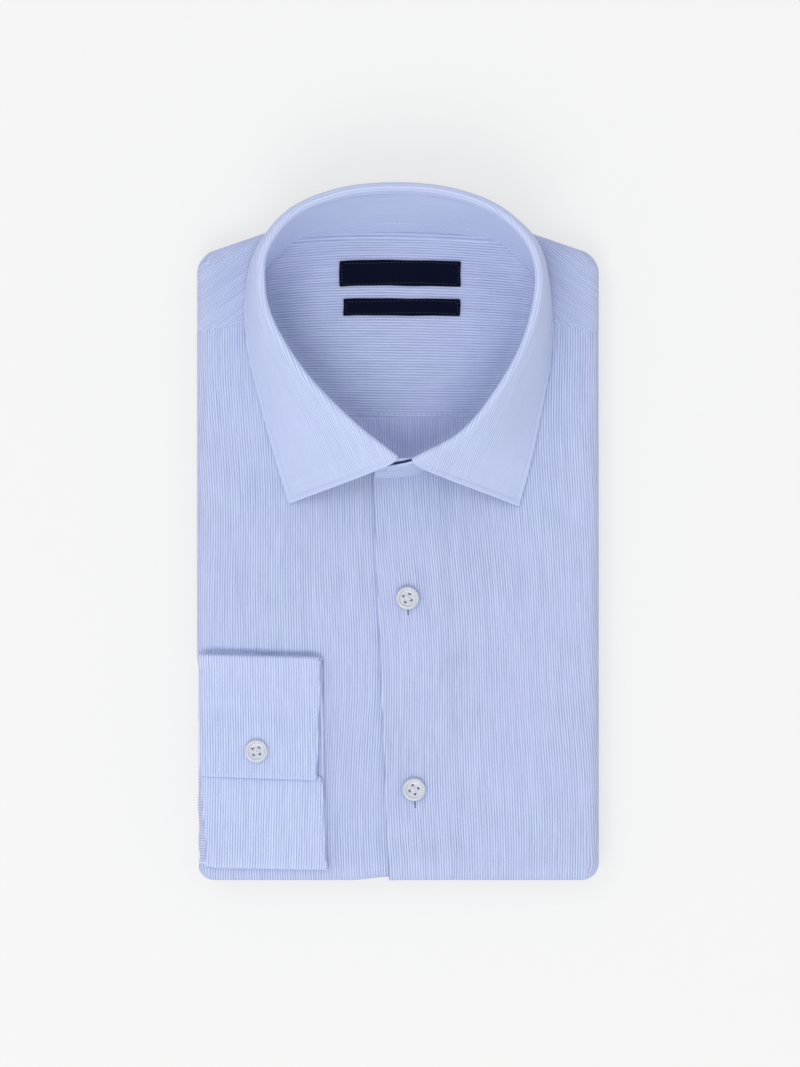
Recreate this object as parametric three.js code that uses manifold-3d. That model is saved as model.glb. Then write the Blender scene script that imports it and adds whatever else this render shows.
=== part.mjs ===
// Long sleeve dress shirt, folded flat, its collar standing and one cuff laid on the front.
// Millimetres, +Z up, the collar towards +Y, the underside flat on z = 0.
// Left and right in the names are the wearer's: the left front is at +X and lies on top.
import * as THREE from 'three';
import { mergeVertices } from 'three/addons/utils/BufferGeometryUtils.js';
import Module from 'manifold-3d';

const wasm = await Module();
wasm.setup();

// Cloth
const CLOTH = 1.2;              // wall of a single layer
const LAYER_GAP = 0.5;          // air between a layer and what it lies on
const SEAM_GAP = 0.3;           // between two sewn pieces
const SKIN = CLOTH + LAYER_GAP; // height that one layer adds

// Folded body
const BODY_WIDTH = 201;
const BOTTOM_EDGE = -174;
const SHOULDER_EDGE = 151;      // top edge beside the collar
const SHOULDER_AT = 63;         // distance from the middle where the shoulder slope starts
const SHOULDER_SLOPE = 0.345;
const NECK_RISE = 4;            // extra length of the top edge behind the collar
const SLOPE_FROM = 60;          // the shoulder slope fades out below this height
const BODY_HEIGHT = 17.3;       // top of the hidden layers
const RIM = 7;                  // reach of the rounded edge beyond the flat middle
const WRAP = 16;                // cloth that turns over the edge and back under
const TUCK = 4.5;               // how far the turned cloth runs back under the edge
const SLOT_TOP = 9.5;           // underside of the upper fold
const FLAT_X = BODY_WIDTH / 2 - SKIN - RIM;
const FLAT_TOP = SHOULDER_EDGE - SKIN - RIM;
const FLAT_BOTTOM = BOTTOM_EDGE + SKIN + RIM;
const GRID = 12;                // mesh step over the flat middle
const RIM_STEPS = 5;

// Lines across the fronts
const SHOULDER_SEAM = 108;      // yoke to fronts
const BACK_SEAM = 57.4;         // yoke to back, inside the neck
const PLACKET_TOP = { x: -12.3, y: 29.8 };
const PLACKET_SLANT = 0.041;    // sideways for each millimetre down
const PLACKET_LAP = 30;         // how far the right front runs under the left one
const PLACKET_RAMP = 20;        // how far the bottom edge takes to give way to the doubled fronts
const LAP_FADE = 9;             // how far past the lap the left front is down again

// Neck hollow
const WELL_DEPTH = 5;
const WELL_FROM = 1;
const WELL_TO = 11;
const NECK_BACK = 137;          // above this the yoke runs on under the stand

// Collar
const STAND_CLOTH = 1.4;
const LEAF_CLOTH = 1.2;
const STAND_HEIGHT = { front: 27, back: 35 };
const LEAF_HANG = 41;           // drop of the leaf at the back
const ROLL = STAND_CLOTH / 2 + SEAM_GAP + LEAF_CLOTH / 2;
const ROLL_INSIDE = 3;          // leaf turned in over the top of the stand
const COLLAR_STEPS = 40;

// Cuff and sleeve
const CUFF_CLOTH = 1.5;
const CUFF_TOP = -60.8;
const CUFF_BOTTOM = -167;
const CUFF_LAP_EDGE = -121.3;
const CUFF_UNDER_END = -103;
const CUFF_RIGHT = -40.6;
const CUFF_UNDER_RIGHT = -37.6;
const CUFF_LEFT_TURN = 4.2;     // cloth from the flat middle to the cuff's edge, round the rim
const SLEEVE_CLOTH = 2;
const SLEEVE_PINCH = 2.2;       // the sleeve presses the body's edge in

// Small pieces
const BUTTON = { radius: 5.8, rim: 4.3, height: 2.6, dish: 0.8, hole: 0.9, spread: 1.5 };
const LABEL_CLOTH = 1;
const LABELS = [
  { name: 'label_upper', left: -29, right: 31, top: 132.3, bottom: 120.6 },
  { name: 'label_lower', left: -27, right: 30.8, top: 114, bottom: 106.6 },
];

// Side view of the folded layers under the upper fold, from its underside down to the floor:
// out = reach from the flat middle, up = height
const LOWER_LAYERS = [
  { out: 0.3, up: 9.5 },
  { out: 0.3, up: 5.7 },
  { out: 4.8, up: 5.6 },
  { out: 6.4, up: 4.4 },
  { out: 4.8, up: 3.0 },
  { out: 5.9, up: 1.6 },
  { out: 3.6, up: 0 },
];

// Soft swells of the folded pack: centre, half widths and height
const SWELLS = [
  { x: 0, y: -60, wide: 95, long: 105, height: 1.6 },
  { x: -58, y: 62, wide: 34, long: 40, height: 0.8 },
  { x: 62, y: 40, wide: 36, long: 44, height: 0.9 },
];

// Main creases, as soft ridges (height above 0) and troughs (below 0)
const CREASES = [
  { x1: -29, y1: -66, x2: -27, y2: -172, width: 8, height: -1.1 },
  { x1: 46, y1: 46, x2: 96, y2: 14, width: 8, height: 0.9 },
  { x1: 50, y1: 28, x2: 98, y2: 0, width: 7, height: -0.8 },
  { x1: -94, y1: 40, x2: -58, y2: 4, width: 9, height: 0.8 },
  { x1: -90, y1: 12, x2: -60, y2: -30, width: 8, height: -0.7 },
  { x1: 40, y1: -110, x2: 92, y2: -152, width: 10, height: 0.7 },
  { x1: 30, y1: -60, x2: 88, y2: -84, width: 9, height: -0.7 },
];

// Collar, from the left corner of its leaf as seen, round the back, to the right corner:
// ridge = top of the fold, edge = free edge of the leaf, base = seam to the neck,
// rests = 1 where the leaf's edge lies on the shirt and 0 where it hangs behind
const COLLAR = [
  { ridgeX: -1.2, ridgeY: 36.4, edgeX: -54.2, edgeY: 15, baseX: -1.5, baseY: 32.2, rests: 1 },
  { ridgeX: -24.6, ridgeY: 55.2, edgeX: -60, edgeY: 34, baseX: -28.5, baseY: 51.5, rests: 1 },
  { ridgeX: -49.8, ridgeY: 82, edgeX: -67.5, edgeY: 61, baseX: -54.5, baseY: 79.5, rests: 1 },
  { ridgeX: -65.6, ridgeY: 110.2, edgeX: -75.2, edgeY: 95, baseX: -70, baseY: 109, rests: 1 },
  { ridgeX: -68.1, ridgeY: 129, edgeX: -75.6, edgeY: 121, baseX: -69.5, baseY: 127, rests: 1 },
  { ridgeX: -66.5, ridgeY: 140.5, edgeX: -71, edgeY: 140.5, baseX: -61, baseY: 138, rests: 1 },
  { ridgeX: -54, ridgeY: 157.7, edgeX: -55.8, edgeY: 159.6, baseX: -50, baseY: 147.5, rests: 0.1 },
  { ridgeX: -31.3, ridgeY: 168.3, edgeX: -32.1, edgeY: 170.4, baseX: -30.5, baseY: 152, rests: 0 },
  { ridgeX: -1, ridgeY: 171.8, edgeX: -1, edgeY: 174, baseX: -0.5, baseY: 153.6, rests: 0 },
  { ridgeX: 27.9, ridgeY: 168.7, edgeX: 28.6, edgeY: 170.9, baseX: 27, baseY: 152.3, rests: 0 },
  { ridgeX: 50.4, ridgeY: 159.6, edgeX: 52.1, edgeY: 161.6, baseX: 48, baseY: 147, rests: 0.1 },
  { ridgeX: 65.8, ridgeY: 144, edgeX: 69.6, edgeY: 144.6, baseX: 61, baseY: 137.5, rests: 0.9 },
  { ridgeX: 70.2, ridgeY: 127, edgeX: 75.9, edgeY: 119, baseX: 71, baseY: 124, rests: 1 },
  { ridgeX: 64.9, ridgeY: 98.6, edgeX: 76.2, edgeY: 90, baseX: 69.5, baseY: 97, rests: 1 },
  { ridgeX: 51.3, ridgeY: 72, edgeX: 72, edgeY: 64, baseX: 56, baseY: 69, rests: 1 },
  { ridgeX: 32.4, ridgeY: 49, edgeX: 67, edgeY: 39.5, baseX: 36.5, baseY: 45, rests: 1 },
  { ridgeX: 9, ridgeY: 33.8, edgeX: 60.2, edgeY: 13.7, baseX: 10, baseY: 29.5, rests: 1 },
];

// The stand's ends run on past the leaf's corners, the left end outside the right one
const STAND_UNDER_END = [
  { ridgeX: 7, ridgeY: 37.2, baseX: 7, baseY: 33, height: 25 },
  { ridgeX: 3, ridgeY: 37, baseX: 3, baseY: 32.7, height: 26.5 },
];
const STAND_TOP_END = [
  { ridgeX: 4, ridgeY: 33.2, baseX: 4, baseY: 29.1, height: 25.5 },
  { ridgeX: -2, ridgeY: 33, baseX: -2, baseY: 28.9, height: 23 },
  { ridgeX: -7.5, ridgeY: 33.2, baseX: -7.5, baseY: 29, height: 18.5 },
  { ridgeX: -11, ridgeY: 33.6, baseX: -11.4, baseY: 29.4, height: 11 },
];

// Cuff, once round: y along its path and level above the shirt at the middle of its wall
const LEVEL_UNDER = LAYER_GAP + CUFF_CLOTH / 2;
const LEVEL_TOP = LEVEL_UNDER + CUFF_CLOTH + 0.6;
const LEVEL_LAP = LEVEL_TOP + CUFF_CLOTH + SEAM_GAP;
const FOLD_TOP = CUFF_TOP - CUFF_CLOTH / 2;
const FOLD_BOTTOM = CUFF_BOTTOM + CUFF_CLOTH / 2;
const FOLD_RADIUS = (LEVEL_TOP - LEVEL_UNDER) / 2;
const CUFF_PATH = [
  { y: CUFF_LAP_EDGE, level: LEVEL_LAP },
  { y: CUFF_LAP_EDGE + 9, level: LEVEL_LAP },
  { y: CUFF_UNDER_END, level: LEVEL_LAP },
  { y: CUFF_UNDER_END + 7, level: LEVEL_LAP - 0.7 },
  { y: CUFF_UNDER_END + 15, level: LEVEL_TOP + 0.2 },
  { y: FOLD_TOP - 12, level: LEVEL_TOP },
  { y: FOLD_TOP - FOLD_RADIUS, level: LEVEL_TOP, turn: -1 },
  { y: FOLD_TOP - 12, level: LEVEL_UNDER },
  { y: (FOLD_TOP + FOLD_BOTTOM) / 2 + 14, level: LEVEL_UNDER },
  { y: (FOLD_TOP + FOLD_BOTTOM) / 2 - 14, level: LEVEL_UNDER },
  { y: FOLD_BOTTOM + 12, level: LEVEL_UNDER },
  { y: FOLD_BOTTOM + FOLD_RADIUS, level: LEVEL_UNDER, turn: 1 },
  { y: FOLD_BOTTOM + 12, level: LEVEL_TOP },
  { y: CUFF_LAP_EDGE - 12, level: LEVEL_TOP },
  { y: CUFF_LAP_EDGE, level: LEVEL_TOP },
  { y: CUFF_LAP_EDGE + 9, level: LEVEL_TOP },
  { y: CUFF_UNDER_END, level: LEVEL_TOP },
];
const CUFF_TURN_STEPS = 4;

// Helpers
const clamp = (value, low, high) => Math.min(Math.max(value, low), high);
const mix = (from, to, share) => from + (to - from) * share;
const vector = (x, y, z) => new THREE.Vector3(x, y, z);

function smooth(from, to, value) {
  const share = clamp((value - from) / (to - from), 0, 1);
  return share * share * (3 - 2 * share);
}

// Spacing of equal steps from one value to another
function steps(from, to, size) {
  const count = Math.max(1, Math.round(Math.abs(to - from) / size));
  return Array.from({ length: count + 1 }, (unused, i) => mix(from, to, i / count));
}

// Distance from a point to a polyline's nearest segment
function distanceToLine(x, y, points, closed) {
  let best = Infinity;
  const last = closed ? points.length : points.length - 1;
  for (let i = 0; i < last; i += 1) {
    const start = points[i];
    const end = points[(i + 1) % points.length];
    const dx = end.x - start.x;
    const dy = end.y - start.y;
    const along = clamp(((x - start.x) * dx + (y - start.y) * dy) / (dx * dx + dy * dy), 0, 1);
    best = Math.min(best, Math.hypot(x - start.x - along * dx, y - start.y - along * dy));
  }
  return best;
}

function isInside(x, y, points) {
  let inside = false;
  for (let i = 0; i < points.length; i += 1) {
    const start = points[i];
    const end = points[(i + 1) % points.length];
    const crosses = (start.y > y) !== (end.y > y);
    if (crosses && x < start.x + ((y - start.y) / (end.y - start.y)) * (end.x - start.x)) {
      inside = !inside;
    }
  }
  return inside;
}

// Smooth curve through the rows of a table, sampled at equal steps of the row number
function sampleRows(rows, xName, yName, zName, count) {
  const points = rows.map((row) => vector(row[xName], row[yName], zName ? row[zName] : 0));
  const curve = new THREE.CatmullRomCurve3(points, false, 'centripetal');
  return curve.getPoints(count);
}

// Neck line: where the collar stand meets the shirt
const neckLine = sampleRows(COLLAR, 'baseX', 'baseY', null, COLLAR_STEPS);

// The neck line moved inwards by one amount at its front and sides and another at its back
function neckLoop(insetFront, insetBack) {
  return neckLine.map((point, i) => {
    const before = neckLine[Math.max(i - 1, 0)];
    const after = neckLine[Math.min(i + 1, neckLine.length - 1)];
    const along = vector(after.x - before.x, after.y - before.y, 0).normalize();
    const inset = mix(insetFront, insetBack, smooth(NECK_BACK - 2, NECK_BACK + 2, point.y));
    return new THREE.Vector2(point.x + along.y * inset, point.y - along.x * inset);
  });
}

// Height of the hidden layers' top, without and with the hollow inside the neck
function packHeight(x, y) {
  let height = BODY_HEIGHT;
  for (const swell of SWELLS) {
    const away = Math.hypot((x - swell.x) / swell.wide, (y - swell.y) / swell.long);
    height += swell.height * (1 - smooth(0, 1, away));
  }
  for (const crease of CREASES) {
    const line = [{ x: crease.x1, y: crease.y1 }, { x: crease.x2, y: crease.y2 }];
    const away = distanceToLine(x, y, line, false) / crease.width;
    height += crease.height * Math.exp(-away * away);
  }
  return height;
}

function hollowHeight(x, y) {
  const height = packHeight(x, y);
  if (!isInside(x, y, neckLine)) {
    return height;
  }
  return height - WELL_DEPTH * smooth(WELL_FROM, WELL_TO, distanceToLine(x, y, neckLine, true));
}

// Top edge of the body in plan
function topEdge(x) {
  const away = Math.abs(x);
  if (away > SHOULDER_AT) {
    return SHOULDER_EDGE - (away - SHOULDER_AT) * SHOULDER_SLOPE;
  }
  return SHOULDER_EDGE + NECK_RISE * (1 - (away / SHOULDER_AT) ** 2);
}

function slopeShoulder(x, y) {
  return y + (topEdge(x) - SHOULDER_EDGE) * smooth(SLOPE_FROM, FLAT_TOP, y);
}

// The sleeve presses the left edge in where it comes round
function pinch(x, y) {
  const along = smooth(CUFF_TOP + 10, CUFF_TOP, y) * smooth(CUFF_BOTTOM - 12, CUFF_BOTTOM + 2, y);
  return x + SLEEVE_PINCH * along * smooth(60, FLAT_X, -x);
}

const placketEdge = (b) => PLACKET_TOP.x + (PLACKET_TOP.y - b) * PLACKET_SLANT;

// How far the left front is raised by the right one under it: 1 over the lap, 0 past it
const lapShare = (a, b) => 1 - smooth(PLACKET_LAP, PLACKET_LAP + LAP_FADE, a - placketEdge(b));

// The doubled fronts press the bottom edge in, so that it stays one line
function pressBottom(x, y) {
  const doubled = smooth(-PLACKET_RAMP, 0, x - placketEdge(y)) * lapShare(x, y);
  return y + SKIN * doubled * smooth(BOTTOM_EDGE + 24, FLAT_BOTTOM, y);
}

// Edge of the upper fold: reach and height after some length of cloth past the flat middle
function upperFold(length, top) {
  const turn = (Math.PI * Math.min(length, WRAP)) / WRAP;
  const tucked = Math.max(length - WRAP, 0);
  const reach = turn < Math.PI / 2 ? RIM * Math.sin(turn) : RIM - TUCK * (1 - Math.sin(turn));
  return { out: reach - tucked, up: SLOT_TOP + ((top - SLOT_TOP) * (1 + Math.cos(turn))) / 2 };
}

// Place on the folded body of a point of flat cloth: a across, b up the shirt
function placeOnBody(a, b, section, heightAt) {
  const middleX = clamp(a, -FLAT_X, FLAT_X);
  const middleY = clamp(b, FLAT_BOTTOM, FLAT_TOP);
  const overX = Math.abs(a - middleX);
  const overY = Math.abs(b - middleY);
  const length = Math.max(overX, overY);
  const ratio = length > 0 ? Math.min(overX, overY) / length : 0;
  const angle = overX >= overY ? (Math.PI / 4) * ratio : Math.PI / 2 - (Math.PI / 4) * ratio;
  const top = heightAt(middleX, slopeShoulder(middleX, middleY));
  const { out, up } = length > 0 ? section(length, top) : { out: 0, up: top };
  const x = middleX + Math.sign(a) * out * (length > 0 ? Math.cos(angle) : 0);
  const y = middleY + Math.sign(b - middleY) * out * (length > 0 ? Math.sin(angle) : 0);
  return vector(pinch(x, y), pressBottom(x, slopeShoulder(x, y)), up);
}

// The same point lifted off the body: straight up over the flat middle, else along the normal
function liftOffBody(a, b, lift, heightAt) {
  const reach = 0.4;
  const at = (da, db) => placeOnBody(a + da, b + db, upperFold, heightAt);
  if (Math.abs(a) <= FLAT_X && b >= FLAT_BOTTOM && b <= FLAT_TOP) {
    return at(0, 0).add(vector(0, 0, lift));
  }
  const across = at(reach, 0).sub(at(-reach, 0));
  const along = at(0, reach).sub(at(0, -reach));
  return at(0, 0).addScaledVector(across.cross(along).normalize(), lift);
}

// Closed geometry from points and triangles, its faces turned outwards
function closedGeometry(points, triangles) {
  let volume = 0;
  for (const [i, j, k] of triangles) {
    volume += points[i].dot(vector(0, 0, 0).crossVectors(points[j], points[k]));
  }
  const order = volume < 0 ? [0, 2, 1] : [0, 1, 2];
  const geometry = new THREE.BufferGeometry().setFromPoints(points);
  geometry.setIndex(triangles.flatMap((triangle) => order.map((corner) => triangle[corner])));
  return geometry;
}

// Cloth between an outer and an inner grid of points, closed round its rim
function clothGeometry(outer, inner) {
  const rows = outer.length;
  const columns = outer[0].length;
  const points = [...outer.flat(), ...inner.flat()];
  const below = rows * columns;
  const triangles = [];
  const quad = (p, q, r, s) => triangles.push([p, q, r], [p, r, s]);
  for (let i = 0; i < rows - 1; i += 1) {
    for (let j = 0; j < columns - 1; j += 1) {
      const corner = i * columns + j;
      quad(corner, corner + 1, corner + columns + 1, corner + columns);
      const under = below + corner;
      quad(under, under + columns, under + columns + 1, under + 1);
    }
  }
  const rim = [];
  for (let j = 0; j < columns - 1; j += 1) rim.push(j);
  for (let i = 0; i < rows - 1; i += 1) rim.push(i * columns + columns - 1);
  for (let j = columns - 1; j > 0; j -= 1) rim.push((rows - 1) * columns + j);
  for (let i = rows - 1; i > 0; i -= 1) rim.push(i * columns);
  rim.forEach((from, n) => {
    const to = rim[(n + 1) % rim.length];
    quad(to, from, below + from, below + to);
  });
  return closedGeometry(points, triangles);
}

// Cloth of a given wall round a grid of middle points
function wallGeometry(grid, wall) {
  const rows = grid.length;
  const columns = grid[0].length;
  const side = (offset) => grid.map((row, i) => row.map((point, j) => {
    const before = grid[Math.max(i - 1, 0)][j];
    const after = grid[Math.min(i + 1, rows - 1)][j];
    const left = row[Math.max(j - 1, 0)];
    const right = row[Math.min(j + 1, columns - 1)];
    const normal = after.clone().sub(before).cross(right.clone().sub(left)).normalize();
    return point.clone().addScaledVector(normal, offset);
  }));
  return clothGeometry(side(wall / 2), side(-wall / 2));
}

// A layer that lies on the body: lines across (numbers or functions of b) and lines along
function layerGeometry(acrossLines, alongLines, liftAt, wall, heightAt) {
  const side = (extra) => alongLines.map((b) => acrossLines.map((line) => {
    const a = typeof line === 'function' ? line(b) : line;
    return liftOffBody(a, b, liftAt(a, b) + extra, heightAt);
  }));
  return clothGeometry(side(wall), side(0));
}

// Cutting one solid with another
function toManifold(geometry) {
  const plain = geometry.clone();
  plain.deleteAttribute('normal');
  plain.deleteAttribute('uv');
  const merged = mergeVertices(plain, 1e-4);
  return new wasm.Manifold(new wasm.Mesh({
    numProp: 3,
    vertProperties: Float32Array.from(merged.attributes.position.array),
    triVerts: Uint32Array.from(merged.index.array),
  }));
}

function fromManifold(solid) {
  const mesh = solid.getMesh();
  const geometry = new THREE.BufferGeometry();
  geometry.setAttribute('position', new THREE.BufferAttribute(mesh.vertProperties, mesh.numProp));
  geometry.setIndex(new THREE.BufferAttribute(mesh.triVerts, 1));
  return geometry;
}

// Upright prism over an outline in plan, taller than the shirt
function prism(outline) {
  const depth = 80;
  const geometry = new THREE.ExtrudeGeometry(new THREE.Shape(outline), { depth, bevelEnabled: false });
  return toManifold(geometry.translate(0, 0, -depth / 4));
}

// Grid lines over the body
const rimLines = Array.from({ length: RIM_STEPS }, (unused, i) => ((i + 1) * WRAP) / RIM_STEPS);
const middleAcross = steps(-FLAT_X, FLAT_X, GRID);
const middleAlong = [
  ...steps(FLAT_BOTTOM, BACK_SEAM, GRID).slice(0, -1),
  ...steps(BACK_SEAM, SHOULDER_SEAM, GRID).slice(0, -1),
  ...steps(SHOULDER_SEAM, FLAT_TOP, GRID),
];
const leftRim = [...rimLines].reverse().map((length) => -FLAT_X - length);
const rightRim = rimLines.map((length) => FLAT_X + length);
const bottomRim = [...rimLines].reverse().map((length) => FLAT_BOTTOM - length);
const topRim = rimLines.map((length) => FLAT_TOP + length);
const allAcross = [...leftRim, ...middleAcross, ...rightRim];
const allAlong = [...bottomRim, ...middleAlong, ...topRim];

// Hidden layers: the upper fold, the folded layers under it, and the flat underside
function foldedCore() {
  const lower = (length, top) => {
    const row = LOWER_LAYERS[Math.round(length - WRAP) - 1];
    return length > WRAP ? row : upperFold(length, top);
  };
  const points = [];
  const triangles = [];
  const grid = allAlong.map((b) => allAcross.map((a) => {
    points.push(placeOnBody(a, b, lower, hollowHeight));
    return points.length - 1;
  }));
  const rows = grid.length;
  const columns = grid[0].length;
  for (let i = 0; i < rows - 1; i += 1) {
    for (let j = 0; j < columns - 1; j += 1) {
      triangles.push([grid[i][j], grid[i][j + 1], grid[i + 1][j + 1]]);
      triangles.push([grid[i][j], grid[i + 1][j + 1], grid[i + 1][j]]);
    }
  }
  const rim = [];
  for (let j = 0; j < columns - 1; j += 1) rim.push([allAcross[j], allAlong[0]]);
  for (let i = 0; i < rows - 1; i += 1) rim.push([allAcross[columns - 1], allAlong[i]]);
  for (let j = columns - 1; j > 0; j -= 1) rim.push([allAcross[j], allAlong[rows - 1]]);
  for (let i = rows - 1; i > 0; i -= 1) rim.push([allAcross[0], allAlong[i]]);
  const indexOf = ([a, b]) => grid[allAlong.indexOf(b)][allAcross.indexOf(a)];
  let ring = rim.map(indexOf);
  LOWER_LAYERS.forEach((layer, n) => {
    const past = (WRAP + n + 1) / WRAP;
    const next = rim.map(([a, b]) => {
      const overA = clamp(a, -FLAT_X, FLAT_X);
      const overB = clamp(b, FLAT_BOTTOM, FLAT_TOP);
      points.push(placeOnBody(overA + (a - overA) * past, overB + (b - overB) * past, lower, hollowHeight));
      return points.length - 1;
    });
    ring.forEach((from, k) => {
      const to = (k + 1) % ring.length;
      triangles.push([ring[to], from, next[k]], [ring[to], next[k], next[to]]);
    });
    ring = next;
  });
  const outline = ring.map((i) => new THREE.Vector2(points[i].x, points[i].y));
  for (const [i, j, k] of THREE.ShapeUtils.triangulateShape(outline, [])) {
    triangles.push([ring[i], ring[k], ring[j]]);
  }
  return closedGeometry(points, triangles);
}

// Right front, lying under the left one at the placket
function frontRight() {
  const lap = [-22, -11, 0, 11, 21, PLACKET_LAP - 1.5].map((away) => (b) => placketEdge(b) + away);
  const across = [...leftRim, ...middleAcross.filter((a) => a < -38), ...lap];
  const along = [...bottomRim, ...middleAlong.filter((b) => b <= SHOULDER_SEAM)];
  along[along.length - 1] -= SEAM_GAP / 2;
  const sheet = layerGeometry(across, along, () => LAYER_GAP, CLOTH, packHeight);
  return fromManifold(toManifold(sheet).subtract(prism(neckLoop(2, 2))));
}

// Left front, on top, its placket edge a fold over the right front
function frontLeft() {
  const liftAt = (a, b) => LAYER_GAP + SKIN * lapShare(a, b);
  const lap = [0, 1.5, 9, 17, 25, PLACKET_LAP, PLACKET_LAP + LAP_FADE / 2, PLACKET_LAP + LAP_FADE];
  const across = [
    ...lap.map((away) => (b) => placketEdge(b) + away),
    ...middleAcross.filter((a) => a > PLACKET_LAP + 14),
    ...rightRim,
  ];
  const along = [...bottomRim, ...middleAlong.filter((b) => b <= SHOULDER_SEAM)];
  along[along.length - 1] -= SEAM_GAP / 2;
  const sheet = layerGeometry(across, along, liftAt, CLOTH, packHeight);
  return fromManifold(toManifold(sheet).subtract(prism(neckLoop(1, 1))));
}

// Part of the outline between the strip over a shoulder and the inside of the neck
function yokeCut(side) {
  const outer = neckLoop(1, 1).filter((p) => p.x * side > 0 && p.y < NECK_BACK && p.y > SHOULDER_SEAM - 6);
  const inner = neckLoop(2.6, 2.6).filter((p) => p.x * side > 0 && p.y < NECK_BACK && p.y > 40);
  const byHeight = (p, q) => p.y - q.y;
  outer.sort(byHeight);
  inner.sort(byHeight);
  const seam = SHOULDER_SEAM + SEAM_GAP;
  const seamAt = (away) => (
    new THREE.Vector2(side * away, slopeShoulder(Math.min(away, FLAT_X + RIM - 1), seam))
  );
  const start = outer.find((p) => p.y > slopeShoulder(p.x, seam));
  const strip = outer.slice(outer.indexOf(start));
  return [
    new THREE.Vector2(side * 120, 40),
    seamAt(120),
    ...steps(110, Math.abs(start.x) + 3, 8).map(seamAt),
    seamAt(Math.abs(start.x)),
    ...strip,
    ...inner.reverse(),
    new THREE.Vector2(inner[inner.length - 1].x, 40),
  ];
}

// Yoke: strips over both shoulders, and the inside seen in the neck
function yoke() {
  const along = [...middleAlong.filter((b) => b >= BACK_SEAM), ...topRim];
  along[0] += SEAM_GAP / 2;
  const sheet = layerGeometry(allAcross, along, () => LAYER_GAP, CLOTH, hollowHeight);
  return fromManifold(toManifold(sheet).subtract(prism(yokeCut(-1))).subtract(prism(yokeCut(1))));
}

// Back, seen below the yoke inside the neck
function back() {
  const along = middleAlong.filter((b) => b > 20 && b <= BACK_SEAM);
  along[along.length - 1] -= SEAM_GAP / 2;
  const across = middleAcross.filter((a) => Math.abs(a) < 68);
  const sheet = layerGeometry(across, along, () => LAYER_GAP, CLOTH, hollowHeight);
  return fromManifold(toManifold(sheet).intersect(prism(neckLoop(2.6, 2.6))));
}

// Top of the shirt under the collar
function topOfShirt(x, y) {
  const overFronts = 1 - smooth(SHOULDER_SEAM - 50, SHOULDER_SEAM - 40, y);
  const pastEdge = smooth(-5, -1, x - placketEdge(y));
  return packHeight(x, y) + SKIN * (1 + overFronts * pastEdge * lapShare(x, y));
}

// Frame of the collar at one step: foot of the stand, top of the stand, and directions
function collarFrame(base, ridge, height) {
  const foot = vector(base.x, base.y, topOfShirt(base.x, base.y) + LAYER_GAP);
  const lean = Math.hypot(ridge.x - base.x, ridge.y - base.y);
  const top = vector(ridge.x, ridge.y, foot.z + Math.sqrt(height * height - lean * lean));
  return { foot, top, up: top.clone().sub(foot).normalize() };
}

function standHeight(share) {
  return mix(STAND_HEIGHT.front, STAND_HEIGHT.back, Math.sin(Math.PI * share));
}

const ridgeLine = sampleRows(COLLAR, 'ridgeX', 'ridgeY', null, COLLAR_STEPS);
const edgeLine = sampleRows(COLLAR, 'edgeX', 'edgeY', 'rests', COLLAR_STEPS);
const collarFrames = ridgeLine.map((ridge, i) => (
  collarFrame(neckLine[i], ridge, standHeight(i / COLLAR_STEPS))
));

// Collar stand: a band round the neck, leaning back, its ends crossed at the front
function collarStand() {
  const end = (rows) => rows.map((row) => collarFrame(
    { x: row.baseX, y: row.baseY },
    { x: row.ridgeX, y: row.ridgeY },
    row.height,
  ));
  const frames = [...end(STAND_UNDER_END), ...collarFrames, ...end(STAND_TOP_END)];
  const grid = frames.map(({ foot, top }) => (
    steps(0, 1, 0.25).map((share) => foot.clone().lerp(top, share))
  ));
  return wallGeometry(grid, STAND_CLOTH);
}

// Collar leaf: turned in over the stand's top, rolled over it, and down to its free edge
function collarLeaf() {
  const rollAngles = [180, 135, 90, 60];
  const runSteps = 6;
  const grid = collarFrames.map(({ top, up }, i) => {
    const before = ridgeLine[Math.max(i - 1, 0)];
    const after = ridgeLine[Math.min(i + 1, COLLAR_STEPS)];
    const outward = vector(before.y - after.y, after.x - before.x, 0).normalize();
    outward.addScaledVector(up, -outward.dot(up)).normalize();
    const around = (degrees) => {
      const turn = THREE.MathUtils.degToRad(degrees);
      return top.clone().addScaledVector(outward, ROLL * Math.cos(turn)).addScaledVector(up, ROLL * Math.sin(turn));
    };
    const turnedIn = around(180).addScaledVector(up, -ROLL_INSIDE);
    const roll = rollAngles.map(around);
    const start = roll[roll.length - 1];
    const edge = edgeLine[i];
    const rest = topOfShirt(edge.x, edge.y) + LAYER_GAP + LEAF_CLOTH / 2;
    const end = vector(edge.x, edge.y, mix(top.z - LEAF_HANG, rest, clamp(edge.z, 0, 1)));
    const reach = start.distanceTo(end);
    const leaving = outward.clone().multiplyScalar(Math.sin(Math.PI / 3)).addScaledVector(up, -0.5);
    const run = new THREE.CubicBezierCurve3(
      start,
      start.clone().addScaledVector(leaving, 1 + 0.05 * reach),
      end.clone().addScaledVector(start.clone().sub(end).normalize(), 0.4 * reach),
      end,
    );
    return [turnedIn, ...roll, ...run.getPoints(runSteps).slice(1)];
  });
  return wallGeometry(grid, LEAF_CLOTH);
}

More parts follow.
